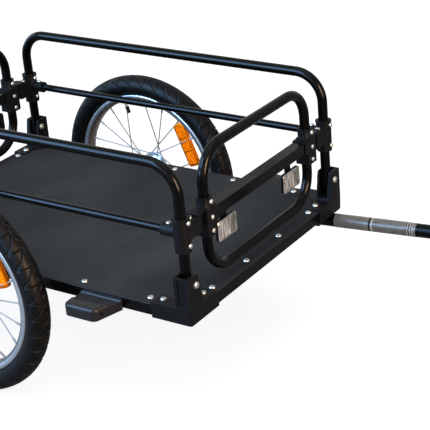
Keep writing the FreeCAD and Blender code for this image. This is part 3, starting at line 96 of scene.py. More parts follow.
# Materials. Each is a Principled shader whose colour, roughness and relief come from noise.
# The size of noise is given as lumps per metre.

class Finish:
    """A node material that is built up one layer at a time."""

    def __init__(self, name, colour, roughness, metallic=0.0, specular=0.5):
        self.material = bpy.data.materials.new(name)
        self.material.use_nodes = True
        self.nodes = self.material.node_tree.nodes
        self.links = self.material.node_tree.links
        self.shader = self.nodes["Principled BSDF"]
        self.colour = colour
        self.set("Base Color", (*colour, 1.0))
        self.set("Roughness", roughness)
        self.set("Metallic", metallic)
        self.set("Specular IOR Level", specular)
        self.place = self.add("ShaderNodeTexCoord").outputs["Object"]

    def set(self, socket, value):
        self.shader.inputs[socket].default_value = value

    def add(self, kind, **values):
        node = self.nodes.new(kind)
        for name, value in values.items():
            node.inputs[name].default_value = value
        return node

    def noise(self, lumps, detail=3.0, stretch=None):
        """Noise, drawn out where stretch says."""
        source = self.place
        if stretch:
            mapping = self.add("ShaderNodeMapping", Scale=stretch)
            self.links.new(source, mapping.inputs["Vector"])
            source = mapping.outputs["Vector"]
        node = self.add("ShaderNodeTexNoise", Scale=lumps, Detail=detail)
        self.links.new(source, node.inputs["Vector"])
        return node.outputs["Fac"]

    def tint(self, source, low, high, low_at=0.3, high_at=0.7):
        """Take the base colour from low to high as the source goes from low_at to high_at."""
        node = self.add("ShaderNodeValToRGB")
        first, last = node.color_ramp.elements
        first.position, last.position = low_at, high_at
        first.color, last.color = (*low, 1.0), (*high, 1.0)
        self.links.new(source, node.inputs["Fac"])
        self.links.new(node.outputs["Color"], self.shader.inputs["Base Color"])

    def shades(self, down, up):
        """The base colour made darker by one share, and lighter by another."""
        return [[min(1.0, value * share) for value in self.colour] for share in (down, up)]

    def mottle(self, lumps, depth, stretch=None):
        """Vary the base colour a little, lighter and darker."""
        self.tint(self.noise(lumps, stretch=stretch), *self.shades(1 - depth, 1 + depth))
        return self

    def vary_roughness(self, lumps, low, high):
        node = self.add("ShaderNodeMapRange")
        node.inputs["To Min"].default_value = low
        node.inputs["To Max"].default_value = high
        self.links.new(self.noise(lumps), node.inputs["Value"])
        self.links.new(node.outputs["Result"], self.shader.inputs["Roughness"])
        return self

    def relief(self, source, height, strength):
        """Fine relief, as high as height at most."""
        node = self.add("ShaderNodeBump", Strength=strength, Distance=height * MM)
        self.links.new(source, node.inputs["Height"])
        self.links.new(node.outputs["Normal"], self.shader.inputs["Normal"])
        return self

    def grain(self, lumps, height, strength):
        return self.relief(self.noise(lumps, detail=4.0), height, strength)


def gloss_black():
    paint = Finish("gloss_black_powder_coat", (0.003, 0.003, 0.0035), roughness=0.2,
                   specular=0.065)
    paint.mottle(60, depth=0.12).vary_roughness(35, low=0.16, high=0.24)
    return paint.grain(900, height=0.012, strength=0.3)


def black_moulding():
    plastic = Finish("black_moulding", (0.0075, 0.0078, 0.009), roughness=0.5, specular=0.06)
    plastic.mottle(90, depth=0.18).vary_roughness(70, low=0.42, high=0.58)
    return plastic.grain(1600, height=0.05, strength=0.5)


def guard_moulding():
    plastic = Finish("guard_moulding", (0.0205, 0.0215, 0.0230), roughness=0.43, specular=0.12)
    plastic.mottle(70, depth=0.16).vary_roughness(60, low=0.36, high=0.50)
    return plastic.grain(1200, height=0.05, strength=0.5)


def deck_sheet():
    """Matt black film with faint smudges that run across the deck."""
    sheet = Finish("deck_sheet", (0.0570, 0.0615, 0.0670), roughness=0.8, specular=0.0)
    sheet.mottle(7, depth=0.24, stretch=(1.0, 0.45, 1.0)).vary_roughness(20, low=0.74, high=0.86)
    return sheet.grain(1400, height=0.05, strength=0.6)


def zinc():
    metal = Finish("bright_zinc", (0.43, 0.445, 0.43), roughness=0.36, metallic=0.6, specular=0.3)
    metal.mottle(300, depth=0.2).vary_roughness(250, low=0.26, high=0.44)
    return metal.grain(1200, height=0.006, strength=0.4)


def steel(name, colour, roughness):
    metal = Finish(name, colour, roughness, metallic=1.0)
    metal.mottle(120, depth=0.07)
    metal.vary_roughness(90, low=roughness - 0.06, high=roughness + 0.08)
    return metal.grain(1500, height=0.003, strength=0.3)


def spoke_steel():
    metal = Finish("spoke_steel", (0.36, 0.365, 0.365), roughness=0.5, metallic=0.25,
                   specular=0.1)
    return metal.mottle(120, depth=0.07).vary_roughness(90, low=0.45, high=0.60)


def rim_alloy():
    metal = Finish("rim_alloy", (0.31, 0.315, 0.32), roughness=0.38, metallic=1.0)
    metal.mottle(80, depth=0.06).vary_roughness(120, low=0.34, high=0.44)
    return metal.grain(1000, height=0.003, strength=0.3)


def tyre_rubber():
    rubber = Finish("tyre_rubber", (0.0040, 0.0042, 0.0046), roughness=0.45, specular=0.075)
    rubber.mottle(55, depth=0.28).vary_roughness(60, low=0.36, high=0.60)
    return rubber.grain(900, height=0.08, strength=0.6)


def amber_lens():
    """A moulded prismatic lens: small silvered facets that throw the light back."""
    plastic = Finish("amber_lens", (0.86, 0.180, 0.0008), roughness=0.36, metallic=0.95,
                     specular=0.1)
    facets = plastic.add("ShaderNodeTexVoronoi", Scale=260, Randomness=0.0)
    plastic.links.new(plastic.place, facets.inputs["Vector"])
    dark, bright = plastic.shades(0.72, 1.15)
    plastic.tint(facets.outputs["Distance"], bright, dark, low_at=0.1, high_at=0.75)
    return plastic.relief(facets.outputs["Distance"], height=0.5, strength=0.6)


def clear_prisms(name, dark, bright):
    """Silvered prisms under a clear face, streaked from one grey to another."""
    silver = Finish(name, bright, roughness=0.25, metallic=0.85)
    streaks = silver.noise(380, detail=2.0, stretch=(1, 1, 0.12))
    silver.tint(streaks, dark, bright, low_at=0.36, high_at=0.64)
    silver.vary_roughness(300, low=0.18, high=0.34)
    return silver.grain(700, height=0.03, strength=0.4)


def film():
    wrap = Finish("grey_wrap", (0.185, 0.175, 0.163), roughness=0.3, specular=0.3)
    wrap.mottle(40, depth=0.22).vary_roughness(50, low=0.18, high=0.42)
    return wrap.grain(160, height=0.25, strength=0.5)


def ring_film():
    ring = Finish("pale_ring", (0.50, 0.48, 0.46), roughness=0.35, specular=0.3)
    return ring.mottle(60, depth=0.08).vary_roughness(50, low=0.28, high=0.42)


FINISHES = {
    "gloss_black_tube": gloss_black(),
    "black_moulding": black_moulding(),
    "deck_sheet": deck_sheet(),
    "zinc_screws": zinc(),
    "grey_wrap": film(),
    "hitch_steel": steel("hitch_steel", (0.42, 0.42, 0.41), 0.38),
    "tyre_rubber": tyre_rubber(),
    "rim_alloy": rim_alloy(),
    "spoke_steel": spoke_steel(),
    "hub_alloy": steel("hub_alloy", (0.42, 0.46, 0.50), 0.34),
    "bearing_steel": steel("bearing_steel", (0.5, 0.5, 0.5), 0.35),
    "amber_lens": amber_lens(),
    "axle_steel": steel("axle_steel", (0.50, 0.51, 0.53), 0.33),
    "clear_lens": clear_prisms("clear_lens", (0.15, 0.13, 0.11), (0.66, 0.63, 0.62)),
}
LOOKS = {slot: finish.material for slot, finish in FINISHES.items()}
LOOKS["knob_moulding"] = LOOKS["black_moulding"]
LOOKS["button_moulding"] = LOOKS["black_moulding"]
BRASS = steel("valve_brass", (0.62, 0.45, 0.20), 0.32).material
SIDE_PRISMS = clear_prisms("side_prisms", (0.11, 0.115, 0.10), (0.26, 0.26, 0.24)).material
GUARD = guard_moulding().material
PALE_RING = ring_film().material
# A darker copy of the rim alloy: painted shade for the rim's bed between its flanges
RIM_BED_SHADE = steel("rim_bed_painted_shade", (0.14, 0.13, 0.12), 0.36).material


# Pieces

# Angles between faces: shading is smooth below the first, or the second on facets, edges are
# rounded above the third, and faces are joined into flat ones below the last.
SMOOTH_BELOW = 35.0
FACETS_BELOW = 5.0
BEVEL_ABOVE = 32.0
FLAT_BELOW = 1.5
MERGE_WITHIN = 0.002

# How wide the rounds are on the edges of what keeps its CAD shape
TUBE_EDGE = 1.2
PLATE_EDGE = 0.5
CORNER_EDGE = 0.9
CROSSBAR_EDGE = 1.6
MOULDED_EDGE = 0.8
KNOB_EDGE = 1.0
SMALL_EDGE = 0.6
BEARING_EDGE = 0.3


def dress(piece, body, slot, material=None, smooth_below=SMOOTH_BELOW):
    """Give a finished mesh its material, its slot's look unless one is given, and its shading and
    body.
    """
    piece.data.materials.clear()
    piece.data.materials.append(material or LOOKS[slot])
    piece.data.shade_smooth()
    piece.data.set_sharp_from_angle(angle=math.radians(smooth_below))
    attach(piece, body)


def add_mesh(name, work):
    """A new object from a bmesh drawn in millimetres."""
    mesh = bpy.data.meshes.new(name)
    work.to_mesh(mesh)
    work.free()
    mesh.transform(Matrix.Scale(MM, 4))
    piece = bpy.data.objects.new(name, mesh)
    scene.collection.objects.link(piece)
    return piece


def stand_for(piece, node):
    """Let a new piece take the place of one CAD node."""
    dress(piece, BODY_OF[node], SLOT_OF[node])
    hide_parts(node)
    return piece


def clean_copy(node):
    """The node's own solid as a mesh in millimetres, with its flat faces made whole."""
    work = bmesh.new()
    work.from_mesh(frame["nodes"][node].data)
    bmesh.ops.scale(work, vec=Vector((1 / MM,) * 3), verts=work.verts)
    bmesh.ops.remove_doubles(work, verts=work.verts, dist=MERGE_WITHIN)
    bmesh.ops.dissolve_limit(work, angle_limit=math.radians(FLAT_BELOW), verts=work.verts,
                             edges=work.edges)
    return work


def soften(piece, width, segments=2):
    """Round a piece's sharp edges."""
    bevel = piece.modifiers.new("soft_edges", "BEVEL")
    bevel.width = width * MM
    bevel.segments = segments
    bevel.limit_method = "ANGLE"
    bevel.angle_limit = math.radians(BEVEL_ABOVE)
    bevel.use_clamp_overlap = True
    return piece


def refine(node, width, segments=2, shape=None):
    """A CAD node's own shape with its sharp edges rounded, after any extra shaping."""
    work = clean_copy(node)
    if shape:
        shape(work)
    piece = add_mesh(node + "_finished", work)
    return stand_for(soften(piece, width, segments), node)


def upright_way(degrees):
    """A direction in an upright plane along the trailer, turned up from straight ahead."""
    angle = math.radians(degrees)
    return Vector((math.cos(angle), 0, math.sin(angle)))


def circle(count):
    """The cosine and sine of even steps round one turn."""
    angles = [2 * math.pi * step / count for step in range(count)]
    return [(math.cos(angle), math.sin(angle)) for angle in angles]


def add_walls(work, loops, closed=False):
    """Four-sided faces from each loop of points to the next, and back to the first if closed."""
    following = loops[1:] + loops[:1] if closed else loops[1:]
    count = len(loops[0])
    for here, ahead in zip(loops, following):
        for index in range(count):
            after = (index + 1) % count
            work.faces.new((here[index], here[after], ahead[after], ahead[index]))


def add_caps(work, loops):
    """Close the first and the last loop."""
    work.faces.new(list(reversed(loops[0])))
    work.faces.new(loops[-1])


def whole_profile(middle_radius, half):
    """A closed outline of (along, radius), from its middle point and the half that follows it."""
    return [(0.0, middle_radius), *half, *[(-along, radius) for along, radius in reversed(half)]]


def lathe(work, profile, segments, axis_point):
    """Turn a closed profile of (along, radius) about the Y direction through a point."""
    rings = []
    for cosine, sine in circle(segments):
        spots = [Vector((radius * cosine, along, radius * sine)) for along, radius in profile]
        rings.append([work.verts.new(axis_point + spot) for spot in spots])
    add_walls(work, rings, closed=True)
    bmesh.ops.recalc_face_normals(work, faces=work.faces)


BEND_STEPS = 14


def rounded_path(corners, bend):
    """Points along straight runs joined by arcs of one radius."""
    points = [Vector(corners[0])]
    for before, corner, after in zip(corners, corners[1:], corners[2:]):
        before, corner, after = Vector(before), Vector(corner), Vector(after)
        back, ahead = (before - corner).normalized(), (after - corner).normalized()
        half = back.angle(ahead) / 2
        centre = corner + (back + ahead).normalized() * (bend / math.sin(half))
        start = (corner + back * (bend / math.tan(half)) - centre).normalized()
        finish = (corner + ahead * (bend / math.tan(half)) - centre).normalized()
        for step in range(BEND_STEPS + 1):
            points.append(centre + start.slerp(finish, step / BEND_STEPS) * bend)
    points.append(Vector(corners[-1]))
    return points


def sweep(work, points, radius, sides):
    """A closed round bar along points, its section carried along without twist."""
    last = len(points) - 1
    across = (points[1] - points[0]).normalized().orthogonal().normalized()
    rings = []
    for index, point in enumerate(points):
        before, after = points[max(index - 1, 0)], points[min(index + 1, last)]
        heading = (after - before).normalized()
        across = (across - heading * across.dot(heading)).normalized()
        upward = heading.cross(across)
        offsets = [across * cosine + upward * sine for cosine, sine in circle(sides)]
        rings.append([work.verts.new(point + offset * radius) for offset in offsets])
    add_walls(work, rings)
    add_caps(work, rings)


TUBE_SIDES = 36


def tube_piece(name, node, points, radius):
    work = bmesh.new()
    sweep(work, points, radius, TUBE_SIDES)
    stand_for(add_mesh(name, work), node)


# Button screws: a low dome with a six-sided socket. The dome's rows are shares of the head's
# radius and height, and the socket's shares are of the same two.

HEAD_SIDES = 24
DOME_SHARES = ((1.0, 0.0), (1.0, 0.25), (0.93, 0.55), (0.78, 0.82), (0.6, 0.97))
SOCKET_SHARE = 0.42
SOCKET_LEVEL_SHARES = (1.0, 0.35)

DECK_HEAD = (5.5, 3.0)
SMALL_HEAD = (4.25, 3.0)
SMALL_NUT = (4.25, 4.0)
BLOCK_HEAD = (5.0, 3.0)
PIVOT_HEAD = (6.0, 4.0)
PIVOT_NUT = (6.0, 5.0)


def hexagon_reach(step):
    """How far a hexagon's edge is from its middle in one direction, as a share of its corners'."""
    half_side = math.pi / 6
    within = (2 * math.pi * step / HEAD_SIDES) % (2 * half_side) - half_side
    return math.cos(half_side) / math.cos(within)


def button(work, centre, normal, radius, height):
    turn = Vector(UP).rotation_difference(Vector(normal)).to_matrix()
    rows = [([radius * share] * HEAD_SIDES, height * level) for share, level in DOME_SHARES]
    socket = [radius * SOCKET_SHARE * hexagon_reach(step) for step in range(HEAD_SIDES)]
    rows += [(socket, height * level) for level in SOCKET_LEVEL_SHARES]
    loops = []
    for reaches, level in rows:
        spots = [Vector((reach * cosine, reach * sine, level))
                 for reach, (cosine, sine) in zip(reaches, circle(HEAD_SIDES))]
        loops.append([work.verts.new(Vector(centre) + turn @ spot) for spot in spots])
    add_walls(work, loops)
    add_caps(work, loops)


def screw_piece(name, node, spots):
    """All the screw heads of one node, each given as its centre, direction and head."""
    work = bmesh.new()
    for centre, normal, head in spots:
        button(work, centre, normal, *head)
    stand_for(add_mesh(name, work), node)


SCREW_INSET = 16.0
SIDE_SCREW_PITCH = 137.0
END_SCREW_PITCH = 106.0
FLANGE_TOP = 3.0
FLANGE_SCREW_X = 300.0
FLANGE_SCREW_Y = 185.5
GUARD_SCREW_XS = (165.0, 200.0)
GUARD_SCREW_Z = -18.0
GUARD_FLOOR = 3.0


def deck_screw_spots():
    side_y, end_x = DECK_HALF_WIDTH - SCREW_INSET, DECK_HALF_LENGTH - SCREW_INSET
    spots = []
    for sign in (-1, 1):
        for step in range(-2, 3):
            spots.append(((SIDE_SCREW_PITCH * step, side_y * sign, 0), UP, DECK_HEAD))
        for step in (-1.5, -0.5, 0.5, 1.5):
            spots.append(((end_x * sign, END_SCREW_PITCH * step, 0), UP, DECK_HEAD))
        for end in (-1, 1):
            spots.append(((FLANGE_SCREW_X * end, side_y * sign, FLANGE_TOP), UP, DECK_HEAD))
            spots.append(((end_x * end, FLANGE_SCREW_Y * sign, FLANGE_TOP), UP, DECK_HEAD))
        for along in GUARD_SCREW_XS:
            spots.append(((along, (DECK_HALF_WIDTH + GUARD_FLOOR) * sign, GUARD_SCREW_Z),
                          (0, sign, 0), SMALL_HEAD))
    return spots


TOWER_FACE_X = highest_of("front_left_corner")[0]
TOWER_BACK_X = 335.0
PIVOT_Z = 42.0


def pivot_bolt_spots():
    """All four bolts have their heads to the front and their nuts to the back."""
    spots = []
    for sign in (-1, 1):
        for head, nut in ((TOWER_FACE_X, TOWER_BACK_X), (-TOWER_BACK_X, -TOWER_FACE_X)):
            spots.append(((head, POST_Y * sign, PIVOT_Z), AHEAD, PIVOT_HEAD))
            spots.append(((nut, POST_Y * sign, PIVOT_Z), BACK, PIVOT_NUT))
    return spots


TEE_FACE = 14.0
TEE_SCREW_ZS = (110.0, 149.5)
TEE_SOCKET_INSET = 24.0
TEE_SOCKET_TOP_Z = 143.0
BLOCK_INSET = 22.0
BLOCK_TOP_Z = 147.0
BLOCK_FOOT_Z = 116.0


def tee_spots(sign):
    side = POST_Y * sign
    block_y = side - BLOCK_INSET * sign
    spots = []
    for end in (-1, 1):
        for height in TEE_SCREW_ZS:
            spots.append(((POST_X * end + TEE_FACE, side, height), AHEAD, SMALL_HEAD))
        spots.append((((POST_X - TEE_SOCKET_INSET) * end, side, TEE_SOCKET_TOP_Z), UP, SMALL_HEAD))
        spots.append(((POST_X * end, block_y, BLOCK_TOP_Z), UP, BLOCK_HEAD))
        spots.append(((POST_X * end, block_y, BLOCK_FOOT_Z), DOWN, SMALL_NUT))
    return spots


CLAMP_FACE = 13.5
CLAMP_SCREW_ZS = (108.0, 132.0, 159.0)


def gate_spots(end):
    return [((POST_X * end + CLAMP_FACE, GATE_Y * sign, height), AHEAD, SMALL_HEAD)
            for sign in (-1, 1) for height in CLAMP_SCREW_ZS]


# Rails and gates

RAIL_BEND = 52.0
RAIL_FOOT_Z = lowest_of("left_side_hoop")[2]
RAIL_TOP_Z = highest_of("left_side_hoop")[2] - TUBE_RADIUS
MIDDLE_RAIL_END_X = highest_of("left_mid_rail")[0]
MIDDLE_RAIL_Z = middle_of("left_mid_rail")[2]
GATE_BEND = 55.0
GATE_TOP_Z = highest_of("front_upper_hoop")[2] - TUBE_RADIUS
GATE_FOOT_Z = lowest_of("front_lower_hoop")[2] + TUBE_RADIUS
UPPER_LEG_END_Z = lowest_of("front_upper_hoop")[2]
LOWER_LEG_END_Z = highest_of("front_lower_hoop")[2]


def hoop_points(legs, leg_end, crown, bend):
    """A hoop's centreline from one leg's end to the other's, given where the legs stand."""
    (ax, ay), (bx, by) = legs
    corners = [(ax, ay, leg_end), (ax, ay, crown), (bx, by, crown), (bx, by, leg_end)]
    return rounded_path(corners, bend)


def build_rails():
    for hand, sign in HANDS:
        side = POST_Y * sign
        legs = (-POST_X, side), (POST_X, side)
        tube_piece(hand + "_top_rail", hand + "_side_hoop",
                   hoop_points(legs, RAIL_FOOT_Z, RAIL_TOP_Z, RAIL_BEND), TUBE_RADIUS)
        bar = [Vector((MIDDLE_RAIL_END_X * end, side, MIDDLE_RAIL_Z)) for end in (-1, 0, 1)]
        tube_piece(hand + "_middle_rail", hand + "_mid_rail", bar, MIDDLE_RAIL_RADIUS)
        refine(hand + "_tees", MOULDED_EDGE)
        screw_piece(hand + "_tee_screw_heads", hand + "_tee_screws", tee_spots(sign))


def build_gates():
    for name, end in ENDS:
        legs = (POST_X * end, -GATE_Y), (POST_X * end, GATE_Y)
        tube_piece(name + "_gate_top", name + "_upper_hoop",
                   hoop_points(legs, UPPER_LEG_END_Z, GATE_TOP_Z, GATE_BEND), TUBE_RADIUS)
        tube_piece(name + "_gate_foot", name + "_lower_hoop",
                   hoop_points(legs, LOWER_LEG_END_Z, GATE_FOOT_Z, GATE_BEND), TUBE_RADIUS)
        refine(name + "_crossbar", CROSSBAR_EDGE, segments=3)
        refine(name + "_clamps", MOULDED_EDGE)
        refine(name + "_reflector_hangers", SMALL_EDGE)
        screw_piece(name + "_gate_screw_heads", name + "_gate_screws", gate_spots(end))


# Reflectors: rounded blocks that carry fields of small pyramids. Their axes are given as across,
# up and out.

CORNER_STEPS = 5
BLOCK_BAND_SHARES = ((1.0, -0.5), (1.0, 0.38), (0.965, 0.5))
PRISM_LIFT = 0.02
WELD_WITHIN = 0.01


def prism_field(work, origin, axes, sizes, grid):
    """A grid of low pyramids on a flat face; the grid is given as columns and rows."""
    across, upward, outward = (Vector(axis) for axis in axes)
    width, height, depth = sizes
    columns, rows = grid
    for column in range(columns):
        for row in range(rows):
            corners = []
            for du, dv in ((0, 0), (1, 0), (1, 1), (0, 1)):
                u, v = (column + du) / columns - 0.5, (row + dv) / rows - 0.5
                spot = Vector(origin) + across * u * width + upward * v * height
                corners.append(work.verts.new(spot))
            middle = sum((corner.co for corner in corners), Vector()) / len(corners)
            peak = work.verts.new(middle + outward * depth)
            for here, after in zip(corners, corners[1:] + corners[:1]):
                work.faces.new((here, after, peak))


def close_fields(cells):
    """Join the pyramids of each field and close its flat back."""
    bmesh.ops.remove_doubles(cells, verts=cells.verts, dist=WELD_WITHIN)
    bmesh.ops.holes_fill(cells, edges=[edge for edge in cells.edges if edge.is_boundary])
    bmesh.ops.recalc_face_normals(cells, faces=cells.faces)
    return cells


def rounded_block(work, centre, axes, sizes, corner):
    """A block with its four corners rounded in its own plane."""
    across, upward, outward = (Vector(axis) for axis in axes)
    width, height, depth = sizes
    outline = []
    for quarter, (su, sv) in enumerate(((1, 1), (-1, 1), (-1, -1), (1, -1))):
        for step in range(CORNER_STEPS + 1):
            angle = math.pi / 2 * (quarter + step / CORNER_STEPS)
            outline.append((su * (width / 2 - corner) + corner * math.cos(angle),
                            sv * (height / 2 - corner) + corner * math.sin(angle)))
    loops = []
    for share, level in BLOCK_BAND_SHARES:
        plane = Vector(centre) + outward * level * depth
        loops.append([work.verts.new(plane + (across * u + upward * v) * share)
                      for u, v in outline])
    add_walls(work, loops)
    add_caps(work, loops)
    bmesh.ops.recalc_face_normals(work, faces=work.faces)


CLEAR_BACK_X = lowest_of("front_reflectors")[0]
CLEAR_Z = middle_of("front_reflectors")[2]
CLEAR_SIZES = (55.0, 36.0, 6.4)
CLEAR_CORNER = 5.0
CLEAR_Y = highest_of("front_reflectors")[1] - CLEAR_SIZES[0] / 2
CLEAR_PANEL_PITCH = 16.0
CLEAR_PANEL_SIZES = (14.5, 29.0, 0.6)
CLEAR_PANEL_GRID = (6, 12)

# The least forward part of a face's normal that makes it clear rather than black
FACES_FORWARD = 0.3


def build_clear_reflectors():
    """Each has a black back and sides, two bright panels of prisms and a darker one."""
    depth = CLEAR_SIZES[2]
    for name, end in ENDS:
        axes = LEFTWARD, UP, (end, 0, 0)
        work = bmesh.new()
        for sign in (-1, 1):
            centre = ((CLEAR_BACK_X + depth / 2) * end, CLEAR_Y * sign, CLEAR_Z)
            rounded_block(work, centre, axes, CLEAR_SIZES, CLEAR_CORNER)
        piece = stand_for(add_mesh(name + "_clear_reflectors", work), name + "_reflectors")
        piece.data.materials.append(LOOKS["black_moulding"])
        for face in piece.data.polygons:
            face.material_index = 0 if face.normal.x * end > FACES_FORWARD else 1
        face_x = (CLEAR_BACK_X + depth + PRISM_LIFT) * end
        for label, panels, material in (("reflector", (-1, 0), LOOKS["clear_lens"]),
                                        ("side", (1,), SIDE_PRISMS)):
            cells = bmesh.new()
            for sign in (-1, 1):
                for panel in panels:
                    origin = (face_x, CLEAR_Y * sign + CLEAR_PANEL_PITCH * panel * end, CLEAR_Z)
                    prism_field(cells, origin, axes, CLEAR_PANEL_SIZES, CLEAR_PANEL_GRID)
            facets = add_mesh("_".join((name, label, "prisms")), close_fields(cells))
            dress(facets, name + "_gate", "clear_lens", material, FACETS_BELOW)


# Wheels. Each profile is half of the real outline, as (offset, radius) from the middle outward.

def wheel_middle(sign):
    return Vector((WHEEL_X, WHEEL_Y * sign, WHEEL_Z))


CROWN_RADIUS = 199.95
TYRE_HALF = [
    (2.8, 199.85), (5.6, 199.4), (8.8, 198.5), (11.8, 197.2), (14.6, 195.4), (17.0, 193.2),
    (19.0, 190.6), (20.6, 187.0), (21.5, 183.4), (21.7, 179.0), (20.9, 174.8), (19.1, 170.6),
    (16.4, 166.6), (13.4, 163.4), (11.5, 162.2), (11.4, 157.4), (6.0, 156.4),
]
TREAD_POINT_GAP = 1.5
TREAD_FROM_RADIUS = 176.0
TREAD_PITCHES = 38
STEPS_A_PITCH = 24
TREAD_STEPS = TREAD_PITCHES * STEPS_A_PITCH

# The cuts are slanted and straight ones on both sides, which are half a pitch apart, and a wavy
# one in the middle. Places along the tread are shares of a pitch.
CUTS_FROM, DEEP_CUTS_TO, CUTS_TO = 4.0, 16.0, 21.5
DEEP_CUT, SHALLOW_CUT, MIDDLE_CUT = 2.1, 1.6, 1.5
STRAIGHT_HALF_SHARE = 0.04
SLANT_HALF_SHARE = 0.045
SLANT_START_SHARE, SLANT_SPAN_SHARE = 0.12, 0.72
SLANT_END, SLANT_RUN = 21.0, 17.0
MIDDLE_REACH = 3.4
WAVE_HEIGHT = 1.4
WAVE_HALF_WIDTH = 1.0

# The tread ends in a wavy step on the shoulder, and below it the side is sunk.
ARCH_RADIUS = 182.0
ARCH_HEIGHT = 2.2
SHOULDER_SUNK = 1.1
NO_SINK_RADIUS, FULL_SINK_RUN = 150.0, 50.0
SIDE_OFFSET = 15.0
SIDE_SINK_SHARE = 0.3


def groove_depth(offset, turn):
    """How far the tread is cut in at a side offset and a share of a turn."""
    pitch = (turn * TREAD_PITCHES) % 1.0
    reach = abs(offset)
    if reach < MIDDLE_REACH:
        wave = WAVE_HEIGHT * math.sin(4 * math.pi * pitch)
        return MIDDLE_CUT if abs(offset - wave) < WAVE_HALF_WIDTH else 0.0
    if not CUTS_FROM < reach < CUTS_TO:
        return 0.0
    local = (pitch + (0.5 if offset > 0 else 0.0)) % 1.0
    slant = SLANT_START_SHARE + SLANT_SPAN_SHARE * (SLANT_END - reach) / SLANT_RUN
    straight = min(local, 1.0 - local) < STRAIGHT_HALF_SHARE
    if straight or abs(local - slant) < SLANT_HALF_SHARE:
        return DEEP_CUT if reach < DEEP_CUTS_TO else SHALLOW_CUT
    return 0.0


def tread_profile():
    """The tyre's outline with enough points on the tread for its cuts."""
    points = whole_profile(CROWN_RADIUS, TYRE_HALF)
    made = []
    for here, ahead in zip(points, points[1:] + points[:1]):
        made.append(here)
        run = math.hypot(ahead[0] - here[0], ahead[1] - here[1])
        on_tread = min(here[1], ahead[1]) > TREAD_FROM_RADIUS
        parts = math.ceil(run / TREAD_POINT_GAP) if on_tread else 1
        for part in range(1, parts):
            share = part / parts
            made.append(tuple(a + (b - a) * share for a, b in zip(here, ahead)))
    return made


def build_tyre(hand, sign):
    profile = tread_profile()
    work = bmesh.new()
    rings = []
    for step, (cosine, sine) in enumerate(circle(TREAD_STEPS)):
        turn = step / TREAD_STEPS
        arch = ARCH_RADIUS + ARCH_HEIGHT * math.cos(2 * math.pi * turn * TREAD_PITCHES)
        ring = []
        for offset, radius in profile:
            if radius > TREAD_FROM_RADIUS:
                sunk = groove_depth(offset, turn) if radius > arch else SHOULDER_SUNK
                radius -= sunk * (radius - NO_SINK_RADIUS) / FULL_SINK_RUN
                if abs(offset) > SIDE_OFFSET:
                    offset -= math.copysign(SIDE_SINK_SHARE * sunk, offset)
            ring.append(work.verts.new((WHEEL_X + radius * cosine, (WHEEL_Y + offset) * sign,
                                        WHEEL_Z + radius * sine)))
        rings.append(ring)
    add_walls(work, rings, closed=True)
    bmesh.ops.recalc_face_normals(work, faces=work.faces)
    stand_for(add_mesh(hand + "_treaded_tyre", work), hand + "_tyre")


RIM_STEPS = 180
RIM_BED_RADIUS = 148.0
RIM_HALF = [
    (7.4, 148.2), (9.6, 149.5), (12.2, 153.1), (13.0, 154.5), (13.5, 160.0), (13.0, 161.4),
    (12.5, 162.0), (12.1, 161.7), (12.0, 161.0), (12.0, 156.0), (7.0, 153.5),
]
# Faces further out than this keep the bright alloy; the bed inside takes the painted shade
RIM_SIDE_FROM = 12.4


def build_rim(hand, sign):
    """A dished rim, bright on its sides, with painted shade in grey on the bed between the spokes.
    """
    work = bmesh.new()
    lathe(work, whole_profile(RIM_BED_RADIUS, RIM_HALF), RIM_STEPS, wheel_middle(sign))
    rim = stand_for(add_mesh(hand + "_alloy_rim", work), hand + "_rim")
    # The bed's faces take the darker alloy as painted shade, and the flanges keep the bright alloy
    rim.data.materials.append(RIM_BED_SHADE)
    for face in rim.data.polygons:
        offset = face.center.y * sign / MM - WHEEL_Y
        face.material_index = 0 if abs(offset) > RIM_SIDE_FROM else 1


HUB_STEPS = 72
HUB_WAIST_RADIUS = 15.2
HUB_HALF = [
    (9.0, 15.6), (14.5, 17.0), (17.0, 20.5), (17.0, 28.4), (17.6, 29.0), (19.4, 29.0),
    (20.0, 28.4), (20.0, 19.0), (20.4, 18.0), (24.4, 18.0), (25.0, 16.8), (25.0, 14.0),
    (17.2, 14.0), (17.2, 8.0),
]


def build_hub(hand, sign):
    work = bmesh.new()
    lathe(work, whole_profile(HUB_WAIST_RADIUS, HUB_HALF), HUB_STEPS, wheel_middle(sign))
    stand_for(add_mesh(hand + "_hub_shell", work), hand + "_hub")


SPOKES = 20
LACE_ANGLE = 58.0
SPOKE_RADIUS = 1.15
SPOKE_SIDES = 10
FLANGE_OFFSET = 18.5
BEND_OUT, HEAD_IN = 2.5, 2.6
SPOKE_CIRCLE = 26.0
SPOKE_FOOT = 149.5
ELBOW_BACK_SHARE = 0.2
ELBOW_ON = 1.2
HEAD_LENGTH_SHARE = 0.14
HEAD_RADIUS = 1.9
NIPPLE_SIDES = 8
NIPPLE_STATIONS = (15.0, 13.4, 2.0, 0.0)


def build_spokes(hand, sign):
    """Round spokes, each with a bent head at the flange and a nipple at the rim."""
    work = bmesh.new()
    centre = wheel_middle(sign)
    for number in range(SPOKES):
        side = sign if number % 2 else -sign
        lead = 1 if (number // 2) % 2 else -1
        rim_angle = 360.0 * number / SPOKES
        hole = centre + upright_way(rim_angle + lead * LACE_ANGLE) * SPOKE_CIRCLE
        elbow = hole + Vector((0, side * (FLANGE_OFFSET + BEND_OUT * lead), 0))
        tail = hole + Vector((0, side * (FLANGE_OFFSET - HEAD_IN * lead), 0))
        foot = centre + upright_way(rim_angle) * SPOKE_FOOT
        bend, run = elbow - tail, (foot - elbow).normalized()
        sweep(work, [tail, elbow - bend * ELBOW_BACK_SHARE, elbow + run * ELBOW_ON, foot],
              SPOKE_RADIUS, SPOKE_SIDES)
        sweep(work, [tail - bend * HEAD_LENGTH_SHARE, tail], HEAD_RADIUS, SPOKE_SIDES)
        sweep(work, [foot - run * station for station in NIPPLE_STATIONS], HEAD_RADIUS,
              NIPPLE_SIDES)
    stand_for(add_mesh(hand + "_laced_spokes", work), hand + "_spokes")


